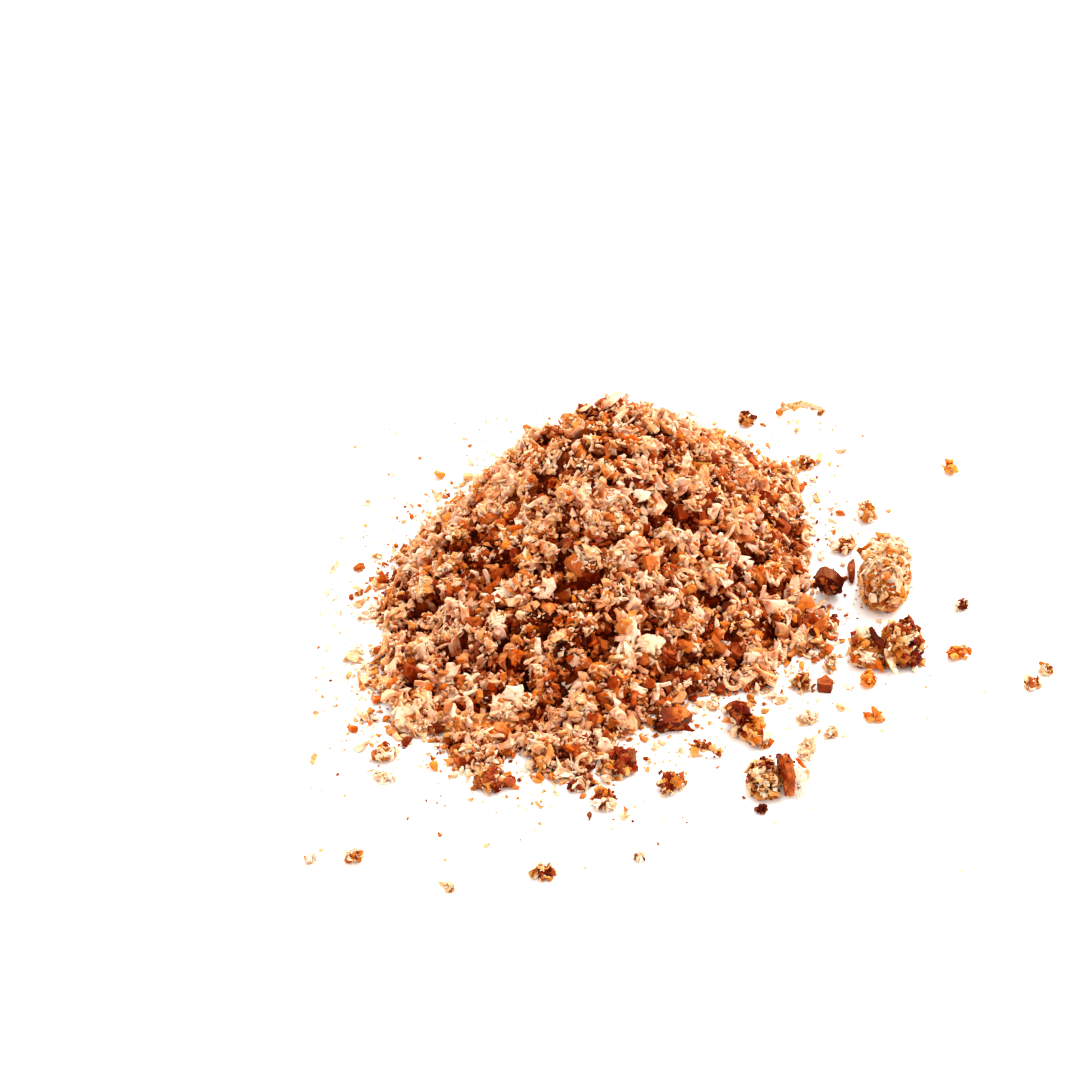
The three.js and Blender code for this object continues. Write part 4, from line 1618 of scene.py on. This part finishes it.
@dataclass
class Lump(TablePiece):
    """Gratings that stick together: a knobbly body with the loose ones all over it."""

    rings: int = 40
    around: int = 64
    shrink: float = 0.2 * MM
    relief: float = 0.3 * MM
    cell: float = 0.8 * MM

    def body(self, solid: PackedSolid) -> Grains:
        """The knobbly body."""
        return solid.body(self.rings, self.around, self.shrink, self.relief, self.cell, self.seed)
LUMPS = (
    Lump(
        "lump_round", "gratings", CREAM,
        coats=(
            Coat(TAN, GRANULE, 80, (0.0, -0.2, 0.0), perch=(-0.22 * MM, 0.0), lean=0.5),
            Coat(CREAM, SMALL_FLAKE, 90, (0.0, 0.2, 0.4), perch=(-0.18 * MM, 0.02 * MM), lean=0.6),
            Coat(CREAM, SMALL_FLAKE, 210, (-0.1, 0.2, 0.1), perch=(-0.14 * MM, 0.04 * MM), lean=0.6),
            Coat(CREAM, SHAVING, 24, (0.0, 0.4, 0.6), perch=(-0.2 * MM, 0.0)),
            Coat(ORANGE, GRANULE, 36, (0.4, -2.8, -0.6), perch=(-0.25 * MM, -0.05 * MM), lean=0.5),
            Coat(RIND, SPECK, 190, (0.4, -0.4, 0.0)),
        ),
        laid=(
            Laid(ORANGE, rock(1.3, 0.8), (0.4, 0.08, 0.3), 0.1, lift=0.0),
            Laid(ORANGE, rock(1.2, 0.7), (0.78, 0.14, 0.4), 0.75, turn=70, lift=0.0),
            Laid(RIND, rock(0.9, 0.7), (0.64, 0.24, 0.66), 0.5, turn=40, lift=0.0),
            Laid(TAN, plate(1.2, 0.8), (0.14, 0.6, 0.84), 0.0, lift=0.1 * MM),
        ),
        shrink=0.24 * MM, relief=0.2 * MM, seed=1101,
    ),
    Lump(
        "lump_twin", "tan", TAN,
        coats=(
            Coat(CREAM, GRANULE, 20, (-1.8, 0.0, 0.0)),
            Coat(TAN, FLAKE, 50, (-0.4, -0.4, 0.2), lean=0.5),
            Coat(CREAM, SHAVING, 16, (0.6, 0.2, 0.4)),
            Coat(ORANGE, GRANULE, 16, (-0.6, -0.5, 0.0)),
            Coat(RIND, GRANULE, 100, (1.4, 0.2, 0.0)),
            Coat(CREAM, SMALL_FLAKE, 34, (1.2, 0.0, 0.4)),
            Coat(BARK, GRANULE, 60, (1.6, -0.6, -0.2)),
            Coat(BARK, SPECK, 70, (0.4, -0.4, 0.0)),
            Coat(TAN, SPECK, 40, (0.8, 0.0, 0.4)),
        ),
        laid=(
            Laid(CREAM, rock(1.5, 0.9), (0.17, 0.55, 0.6), 0.6, turn=70, lift=0.0),
            Laid(CREAM, rock(1.2, 0.8), (0.24, 0.12, 0.4), 0.9, turn=-30, lift=0.0),
            Laid(ORANGE, rock(0.8, 0.85), (0.08, 0.16, 0.3), 0.1, lift=0.0),
            Laid(BARK, ribbon(1.4, 0.3, 1.0), (0.36, 0.4, 0.8), 0.2, turn=-50, tilt=20, lift=0.05 * MM),
            Laid(CREAM, ribbon(1.5, 0.26, 1.2), (0.55, 0.02, 0.4), 0.8, turn=-72, tilt=30, lift=0.1 * MM),
            Laid(CREAM, plate(0.9, 0.6), (0.78, 0.3, 0.82), 0.9, turn=35, lift=0.1 * MM),
            Laid(RIND, rock(1.3, 0.75), (0.88, 0.18, 0.36), 0.0, turn=50, lift=0.0),
            Laid(RIND, rock(1.1, 0.6), (0.8, 0.7, 0.9), 0.1, turn=-30, lift=0.0),
        ),
        cell=0.9 * MM, seed=1202,
    ),
    Lump(
        "clump_spur", "russet", RIND,
        coats=(
            Coat(RIND, GRANULE, 36, (-0.5, 0.8, 0.0)),
            Coat(ORANGE, GRANULE, 36, (1.0, -1.4, 0.0)),
            Coat(CREAM, FLAKE, 30, (0.6, -1.0, 0.0)),
            Coat(TAN, GRANULE, 20),
            Coat(BARK, SPECK, 30),
        ),
        laid=(
            Laid(RIND, rock(1.7, 0.7), (0.36, 0.5, 0.85), 0.1, turn=-52, lift=0.0),
            Laid(BARK, plate(1.5, 0.5, 0.15), (0.4, 0.46, 0.95), 0.5, turn=-54, tilt=50, lift=0.2 * MM),
            Laid(ORANGE, rock(1.1, 0.8), (0.7, 0.3, 0.5), 0.4, lift=0.1 * MM),
            Laid(RIND, rock(0.8, 0.8), (0.4, 0.4, 0.6), 0.2, lift=0.0),
        ),
        rings=32, around=52, seed=1404,
    ),
    Lump(
        "clump_front", "russet", RIND,
        coats=(
            Coat(RIND, GRANULE, 70, (0.4, 0.0, 0.0)),
            Coat(BARK, GRANULE, 30, (0.8, 1.0, 0.8)),
            Coat(ORANGE, GRANULE, 12, (-0.6, -0.8, 0.0)),
            Coat(CREAM, SHAVING, 10, (0.4, -0.6, 0.0)),
            Coat(TAN, SMALL_FLAKE, 26, (-0.6, 0.0, 0.0)),
        ),
        rings=28, around=44, seed=1505,
    ),
    Lump(
        "clump_left", "russet", RIND,
        coats=(
            Coat(RIND, GRANULE, 60, (0.6, 0.0, 0.0)),
            Coat(ORANGE, GRANULE, 14),
            Coat(BARK, SPECK, 44),
            Coat(TAN, GRANULE, 20, (-0.6, 0.0, 0.0)),
            Coat(CREAM, SMALL_FLAKE, 22),
        ),
        rings=28, around=44, seed=1606,
    ),
    Lump(
        "clump_dark", "umber", RIND,
        coats=(
            Coat(BARK, GRANULE, 18, (0.0, 0.8, 0.4)),
            Coat(RIND, GRANULE, 18),
            Coat(CREAM, FLAKE, 14, (0.0, -1.2, 0.0)),
            Coat(BARK, SPECK, 20),
        ),
        rings=24, around=36, seed=1707,
    ),
)


CRUMB_COATS = {
    "orange": (ORANGE, (Coat(ORANGE, SMALL_GRANULE, 9, lean=0.3), Coat(ORANGE, SMALL_FLAKE, 6, lean=0.3))),
    "russet": (
        RIND,
        (
            Coat(RIND, SMALL_GRANULE, 12, (0.0, 0.2, 1.2)),
            Coat(ORANGE, SMALL_GRANULE, 4, (0.0, -0.5, 0.6)),
            Coat(TAN, SMALL_FLAKE, 14, (0.0, 0.0, -0.3), perch=(-0.06 * MM, 0.12 * MM), lean=1.3),
            Coat(PALE, SMALL_FLAKE, 16, (0.0, 0.0, -0.8), perch=(-0.06 * MM, 0.12 * MM), lean=1.3),
            Coat(BARK, SPECK, 16, (0.0, 0.0, 1.2)),
        ),
    ),
    "tan": (TAN, (Coat(TAN, SMALL_GRANULE, 8), Coat(PALE, SMALL_FLAKE, 22, lean=1.1), Coat(RIND, SPECK, 8))),
    "umber": (
        TAN,
        (
            Coat(BARK, SMALL_GRANULE, 8, (0.0, 0.0, 1.4)),
            Coat(RIND, SMALL_GRANULE, 9),
            Coat(PALE, SMALL_FLAKE, 10, lean=1.1),
            Coat(BARK, SPECK, 8),
        ),
    ),
    "bark": (BARK, (Coat(BARK, SMALL_GRANULE, 10), Coat(RIND, SMALL_GRANULE, 6), Coat(CREAM, SPECK, 6))),
    "cream": (PALE, (Coat(PALE, SMALL_FLAKE, 24, lean=1.1), Coat(TAN, SPECK, 6))),
}


@dataclass
class Crumbs:
    """Every small crumb on the table, each one a few gratings that hold together."""

    coats: dict[str, tuple[GratingFinish, tuple[Coat, ...]]] = field(default_factory=lambda: CRUMB_COATS)
    rings: int = 16
    around: int = 26
    shrink: float = 0.16 * MM
    relief: float = 0.18 * MM
    cell: float = 0.4 * MM
    first_seed: int = 3000

    def build(self) -> None:
        """Makes a crumb in place of each crumb's solid, by the slot that the record gives it."""
        rows = [row for row in frame["record"]["subparts"] if row["node"].startswith("crumb_")]
        for index, row in enumerate(rows):
            slot = row["material_slot"]
            seed = self.first_seed + 10 * index
            sizes = (self.rings, self.around, self.shrink, self.relief, self.cell)
            Lump(row["node"], slot, *self.coats[slot], (), seed, *sizes).build()


def fitted(points: Array, low: Array, high: Array) -> Array:
    """Stretches and moves points so that their box is the given one."""
    least, most = points.min(axis=0), points.max(axis=0)
    return low + (points - least) * (high - low) / (most - least)


@dataclass
class Strip:
    """A shaving or splinter bent upward along an arc, like a small arch."""

    length: float
    width: float
    thickness: float
    bend: float
    turn: float
    ragged: float = 0.3
    shade: float = 0.5
    patch: float = 0.6 * MM
    stations: int = 56
    around: int = 20
    seed: int = 1

    def body(self) -> Grains:
        """Makes the strip over the origin.

        Formula: a flattened oval section carried along an arc in an upright plane, narrower towards
        the ends, with a side that wanders and ridges that run lengthwise, then turned about Z.

        Returns:
            The strip, whose lowest point may be under the table.
        """
        bend = math.radians(self.bend)
        radius = self.length / bend
        steps = np.linspace(0, 1, self.stations)
        share, round_ = np.meshgrid(steps, np.arange(self.around) * 2 * np.pi / self.around, indexing="ij")
        angle = bend * (share - 0.5)
        cosine, sine = np.cos(round_), np.sin(round_)
        out = np.sign(cosine) * np.abs(cosine) ** 0.7
        side = np.sign(sine) * np.abs(sine) ** 0.7
        run = share * self.length / MM
        edge = np.stack([run, 2 * side, 0 * side + self.seed + 0.5], -1)
        spine = np.stack([run, 0 * run, 0 * run + self.seed], -1)
        ridges = np.stack([0.35 * run, 4.5 * side, out], -1)
        taper = 0.3 + 0.7 * np.sin(np.pi * np.clip(share, 0.03, 0.97)) ** 0.45
        wander = self.ragged * (waves(edge, 0.55, 3) + 0.5 * waves(edge, 0.22, 4))
        half = 0.5 * self.width * taper * (1 + wander)
        thick = 0.5 * self.thickness * (1 + 0.35 * waves(ridges, 0.6, 5) + 0.3 * waves(spine, 0.8, 6))
        reach = radius + out * thick * (0.5 + 0.5 * taper)
        x, z = reach * np.sin(angle), reach * np.cos(angle) - radius * math.cos(bend / 2)
        y = side * half + 0.12 * self.width * waves(spine, 1.1, 7)
        rings = np.stack([x, y, z], -1)
        ends = rings[[0, -1]].mean(axis=1)
        points = np.concatenate([ends[:1], rings.reshape(-1, 3), ends[1:]])
        turn = math.radians(self.turn)
        aside, ahead = math.sin(turn), math.cos(turn)
        swing = np.array([[ahead, aside, 0], [-aside, ahead, 0], [0, 0, 1]])
        tone = np.clip(self.shade + 0.5 * waves(points, self.patch, self.seed), 0, 1)
        numbers = np.stack([tone, tone, 0 * tone], -1)
        straight = np.stack([run, self.width / MM * side, self.thickness / MM * out], -1)
        along = np.concatenate([straight[0, :1], straight.reshape(-1, 3), straight[-1, :1]])
        faces = lantern_faces(self.stations, self.around)[:, ::-1]
        return Grains(points @ swing, faces, numbers, along)


@dataclass
class Splinter(TablePiece):
    """A lone strip on the table.

    slim is how much narrower than its solid's box it is, from 0 to 1.
    """

    strip: Strip = field(kw_only=True)
    slim: Triple = (0.0, 0.0, 0.0)
    ending: ClassVar[str] = "splinter"

    def __post_init__(self) -> None:
        """Takes the strip's seed."""
        self.seed = self.strip.seed

    def body(self, solid: PackedSolid) -> Grains:
        """The strip, to the size of its solid's box.

        Args:
            solid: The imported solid.

        Returns:
            The strip on the table.
        """
        body = self.strip.body()
        inset = 0.5 * np.array(self.slim) * solid.size * np.array([1, 1, 0])
        top = solid.high - inset - np.array([0, 0, self.slim[2] * solid.size[2]])
        body.points = fitted(body.points, solid.low + inset, top)
        return body


@dataclass
class Chip(TablePiece):
    """A broken piece of shell: flat faces with worn edges, grooved along its fibres."""

    fibres: Triple = (0.0, 0.0, 1.0)
    worn: float = 24.0
    groove: float = 0.07 * MM
    pits: float = 0.6
    # How much lighter faces that look up are painted than the others: painted light and shade.
    shaded: float = 0.4
    paler: Triple = (0.0, 0.0, 0.0)
    base: float = 0.5
    grown: float = 0.0
    thinnest: float = 0.05 * MM
    drawn_out: float = 0.85
    grooves: Span = (0.3 * MM, 0.13 * MM)
    pit_width: float = 0.5 * MM
    patch: float = 0.9 * MM
    rings: int = 60
    around: int = 90
    ending: ClassVar[str] = "shell"

    def body(self, solid: PackedSolid) -> Grains:
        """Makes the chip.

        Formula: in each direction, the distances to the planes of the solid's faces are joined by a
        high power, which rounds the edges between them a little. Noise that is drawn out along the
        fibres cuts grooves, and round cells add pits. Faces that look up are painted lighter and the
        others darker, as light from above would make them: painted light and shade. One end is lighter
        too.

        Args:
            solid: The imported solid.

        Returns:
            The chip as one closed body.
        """
        first = solid.triangles[:, 0]
        normal = unit(np.cross(solid.triangles[:, 1] - first, solid.triangles[:, 2] - first))
        distance = ((first - solid.middle) * normal).sum(-1)
        planes = np.unique(np.round(np.column_stack([normal, distance / MM]), 3), axis=0)
        normal, distance = planes[:, :3], np.maximum(planes[:, 3] * MM, self.thinnest)
        rays = all_round(self.rings, self.around)
        facing = np.maximum(rays @ normal.T, 0) / distance
        points = rays * ((facing**self.worn).sum(axis=1) ** (-1 / self.worn))[:, None]
        axis = unit(np.array(self.fibres))
        along = points @ axis
        drawn = points - self.drawn_out * along[:, None] * axis
        wide, narrow = self.grooves
        cut = 0.6 * waves(drawn, wide, self.seed) + 0.4 * waves(drawn, narrow, self.seed + 1)
        pits = Cells.around(points, self.pit_width, self.seed + 2).nearest ** 2
        points = points + rays * (self.groove * (cut - 0.6 - self.pits * pits))[:, None]
        points = fitted(solid.middle + points, solid.low, solid.high + np.array([0, 0, self.grown]))
        # Painted light and shade: the tone rises on faces that look up and falls on the others.
        looks_up = normal[facing.argmax(axis=1), 2] - 0.5
        place = (points - solid.middle) / (0.5 * solid.size) @ np.array(self.paler)
        mottle = waves(points, self.patch, self.seed + 3)
        tone = np.clip(self.base + 0.35 * mottle + 0.3 * cut + self.shaded * looks_up + place, 0, 1)
        numbers = np.stack([tone, tone, 0 * tone], -1)
        turned = np.column_stack([along, drawn[:, 0], drawn[:, 2]]) / MM
        return Grains(points, lantern_faces(self.rings, self.around), numbers, turned)
CHIPS = (
    Chip(
        "shell_chip", "bark", BARK, fibres=(0.3, 0.2, 1.0),
        coats=(
            Coat(RUSSET, SMALL_GRANULE, 16, (0.4, -0.6, -1.2)),
            Coat(TAN, SPECK, 10, (-0.8, 0.0, 1.6)),
            Coat(BARK, SMALL_GRANULE, 14, (0.0, 0.0, -1.0)),
        ),
        shaded=0.4, paler=(-0.15, 0.0, 0.3), base=0.65, grown=0.5 * MM, seed=2101,
    ),
    Chip(
        "plate_chip", "umber", SHELL, fibres=(0.1, 1.0, 0.1),
        coats=(
            Coat(BARK, SMALL_GRANULE, 16, (-4.0, -1.0, 0.0)),
            Coat(PALE, SMALL_FLAKE, 6, (-3.0, -2.0, -0.4)),
            Coat(RUSSET, SMALL_FLAKE, 16, (0.0, -1.4, 0.4), lean=0.3),
            Coat(TAN, SPECK, 24, (0.0, 0.0, 0.8)),
        ),
        laid=(
            Laid(RUSSET, plate(2.0, 0.3, 0.12), (0.56, 0.03, 0.42), 0.0, turn=-4, tilt=80, lift=0.03 * MM),
            Laid(BARK, rock(0.8, 0.8), (0.03, 0.3, 0.5), 0.1, turn=80, lift=0.0),
        ),
        worn=40.0, groove=0.05 * MM, pits=0.1, shaded=0.8, paler=(0.6, 0.1, 0.0), base=0.25, seed=2202,
    ),
    Chip(
        "chip_angular", "umber", SHELL, fibres=(0.6, 0.0, 1.0),
        coats=(Coat(TAN, SPECK, 8),),
        groove=0.04 * MM, rings=40, around=60, seed=2303,
    ),
)
SPLINTERS = (
    Splinter(
        "sliver_shell", "umber", SHELL,
        strip=Strip(1.9 * MM, 0.7 * MM, 0.35 * MM, bend=40, turn=82, ragged=0.2, seed=2404),
        coats=(Coat(TAN, SPECK, 10),),
    ),
    Splinter(
        "sliver_back", "tan", CREAM,
        strip=Strip(3.2 * MM, 0.6 * MM, 0.32 * MM, bend=70, turn=4, ragged=0.5, seed=2505),
        coats=(Coat(TAN, GRANULE, 6), Coat(CREAM, FLAKE, 10)),
    ),
    Splinter(
        "crescent", "russet", RUSSET,
        strip=Strip(1.9 * MM, 0.3 * MM, 0.16 * MM, bend=60, turn=-30, ragged=1.0, shade=0.1, seed=2606),
        coats=(
            Coat(RUSSET, SMALL_GRANULE, 14, (0.0, 0.0, 0.6)),
            Coat(BARK, SPECK, 16, (0.0, 0.0, 0.8)),
            Coat(TAN, SMALL_FLAKE, 7, (0.6, 0.4, 0.4)),
        ),
        laid=(
            Laid(ORANGE, plate(0.8, 0.7), (0.16, 0.4, 0.2), 0.9, turn=60, lift=0.0),
            Laid(CREAM, plate(0.5, 0.7), (0.42, 0.5, 0.3), 0.9, lift=0.0),
            Laid(RUSSET, rock(0.3, 0.7), (0.5, 0.5, 0.7), 0.4, lift=0.0),
            Laid(RUSSET, rock(0.3, 0.7), (0.72, 0.4, 0.55), 0.4, lift=0.0),
        ),
        slim=(0.0, 0.25, 0.3),
    ),
)


@dataclass
class BandedLump(Lump):
    """A lump with strips of shell over it, each set off from the middle of its foot."""

    bands: tuple[tuple[Strip, GratingFinish, Triple], ...] = ()

    def parts(self, solid: PackedSolid) -> list[Part]:
        """The lump's own parts, and the strips.

        Args:
            solid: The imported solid.

        Returns:
            Each set of grains with its finish.
        """
        made = super().parts(solid)
        foot = np.array([solid.middle[0], solid.middle[1], 0.0])
        for strip, finish, offset in self.bands:
            body = strip.body()
            body.points = body.points + foot + np.array(offset)
            made.append((body, finish))
        return made


BANDED_LUMP = BandedLump(
    "lump_banded", "tan", TAN,
    coats=(
        Coat(CREAM, SMALL_FLAKE, 80, (-2.6, -0.8, 0.0), perch=(-0.05 * MM, 0.15 * MM)),
        Coat(TAN, FLAKE, 30, (-2.2, -0.8, 0.2), perch=(0.0, 0.2 * MM)),
        Coat(CREAM, rock(0.7, 0.8), 10, (-2.8, -0.8, 0.0)),
        Coat(TAN, SMALL_GRANULE, 40, (-2.0, 0.0, 0.0)),
        Coat(RIND, SMALL_GRANULE, 60, (-1.4, 0.6, 0.6)),
        Coat(BARK, SMALL_GRANULE, 60, (-2.4, 0.4, 0.6), perch=(0.0, 0.15 * MM)),
        Coat(BARK, SPECK, 120, (-2.4, 0.0, 0.4), perch=(0.0, 0.2 * MM)),
    ),
    laid=(
        Laid(PALE, plate(2.0, 0.5, 0.2), (0.82, 0.3, 0.42), 1.0, turn=98, tilt=55, lift=0.1 * MM),
        Laid(CREAM, plate(1.2, 0.7, 0.2), (0.92, 0.4, 0.5), 0.8, turn=60, tilt=50, lift=0.0),
        Laid(ORANGE, plate(1.0, 0.3, 0.2), (0.86, 0.62, 0.72), 0.3, turn=-48, tilt=40, lift=0.1 * MM),
    ),
    seed=1303,
    shrink=0.42 * MM,
    bands=(
        # The band over the lump is two strips side by side: a wide brown one, and along its left side a
        # narrow dark one that stands for the shade on that side: painted shade.
        (
            Strip(4.2 * MM, 0.66 * MM, 0.4 * MM, bend=165, turn=97, ragged=0.1, shade=0.75, seed=1350),
            SHELL,
            (0.5 * MM, -0.05 * MM, 0.62 * MM),
        ),
        (
            Strip(4.1 * MM, 0.3 * MM, 0.44 * MM, bend=160, turn=97, ragged=0.3, shade=0.0, seed=1360),
            RUSSET,
            (0.14 * MM, -0.05 * MM, 0.66 * MM),
        ),
    ),
)


# ---- The studio ----


@dataclass
class Studio:
    """The pale table, the soft light and the camera."""

    distance: float = 300 * MM
    elevation: float = 38.0
    lens: float = 155.0
    aim_offset: Span = (-4.1 * MM, 5.83 * MM)
    table_half: float = 2.0
    table_colour: Colour = (0.93, 0.93, 0.94, 1.0)
    room_colour: Colour = (1.0, 0.965, 0.91, 1.0)
    room_strength: float = 1.35
    key_place: Triple = (0.16, 0.14, 0.34)
    key_size: float = 0.32
    key_power: float = 1.75

    def aim(self) -> Vector:
        """The point on the table that the camera looks at, set off from the heap's middle."""
        low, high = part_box("heap")
        middle = 0.5 * (low + high)
        return Vector((middle.x + self.aim_offset[0], middle.y + self.aim_offset[1], 0))

    def add(self, name: str, content: object, offset: Vector) -> bpy.types.Object:
        """Hangs a lamp or a camera at an offset from the aim, turned to face the aim.

        Args:
            name: The object's name.
            content: The lamp or the camera.
            offset: Where it hangs.

        Returns:
            The object.
        """
        holder = bpy.data.objects.new(name, content)
        holder.location = self.aim() + offset
        holder.rotation_euler = (-offset).to_track_quat("-Z", "Y").to_euler()
        bpy.context.scene.collection.objects.link(holder)
        return holder

    def table(self) -> None:
        """A plain white table top."""
        mesh = bpy.data.meshes.new("table")
        half = self.table_half
        corners = [(-half, -half, 0), (half, -half, 0), (half, half, 0), (-half, half, 0)]
        mesh.from_pydata(corners, [], [(0, 1, 2, 3)])
        mesh.materials.append(FinishTree("white table").dress(base_color=self.table_colour, roughness=0.6))
        top = bpy.data.objects.new("table", mesh)
        bpy.context.scene.collection.objects.link(top)

    def key_light(self) -> None:
        """A square soft light, high at the back on the right."""
        lamp = bpy.data.lights.new("key", "AREA")
        lamp.size = self.key_size
        lamp.energy = self.key_power
        self.add("key", lamp, Vector(self.key_place))

    def surroundings(self) -> None:
        """A plain room all round."""
        world = bpy.data.worlds.new("white room")
        world.use_nodes = True
        background = world.node_tree.nodes["Background"]
        background.inputs["Color"].default_value = self.room_colour
        background.inputs["Strength"].default_value = self.room_strength
        bpy.context.scene.world = world

    def camera(self) -> None:
        """The camera, at the elevation and distance of the fields."""
        lens = bpy.data.cameras.new("camera")
        lens.lens = self.lens
        lens.sensor_width = 36.0
        lens.clip_start = 0.01
        lens.clip_end = 20.0
        tilt = math.radians(self.elevation)
        back = Vector((0, -math.cos(tilt), math.sin(tilt)))
        bpy.context.scene.camera = self.add("camera", lens, self.distance * back)

    def build(self) -> None:
        """Sets up the whole studio."""
        self.table()
        self.surroundings()
        self.key_light()
        self.camera()
        bpy.context.scene.view_settings.view_transform = "Standard"
        bpy.context.scene.view_settings.look = "Medium High Contrast"


def main() -> None:
    """Builds the pieces in order."""
    logging.basicConfig(level=logging.INFO, format="%(name)s %(message)s")
    heap = HeapField()
    HeapCore(heap).build()
    LooseGratings(heap).build()
    LargeGratings(heap).build()
    BANDED_LUMP.build()
    for piece in LUMPS + CHIPS + SPLINTERS:
        piece.build()
    Crumbs().build()
    Studio().build()


if __name__ == "__main__":
    main()
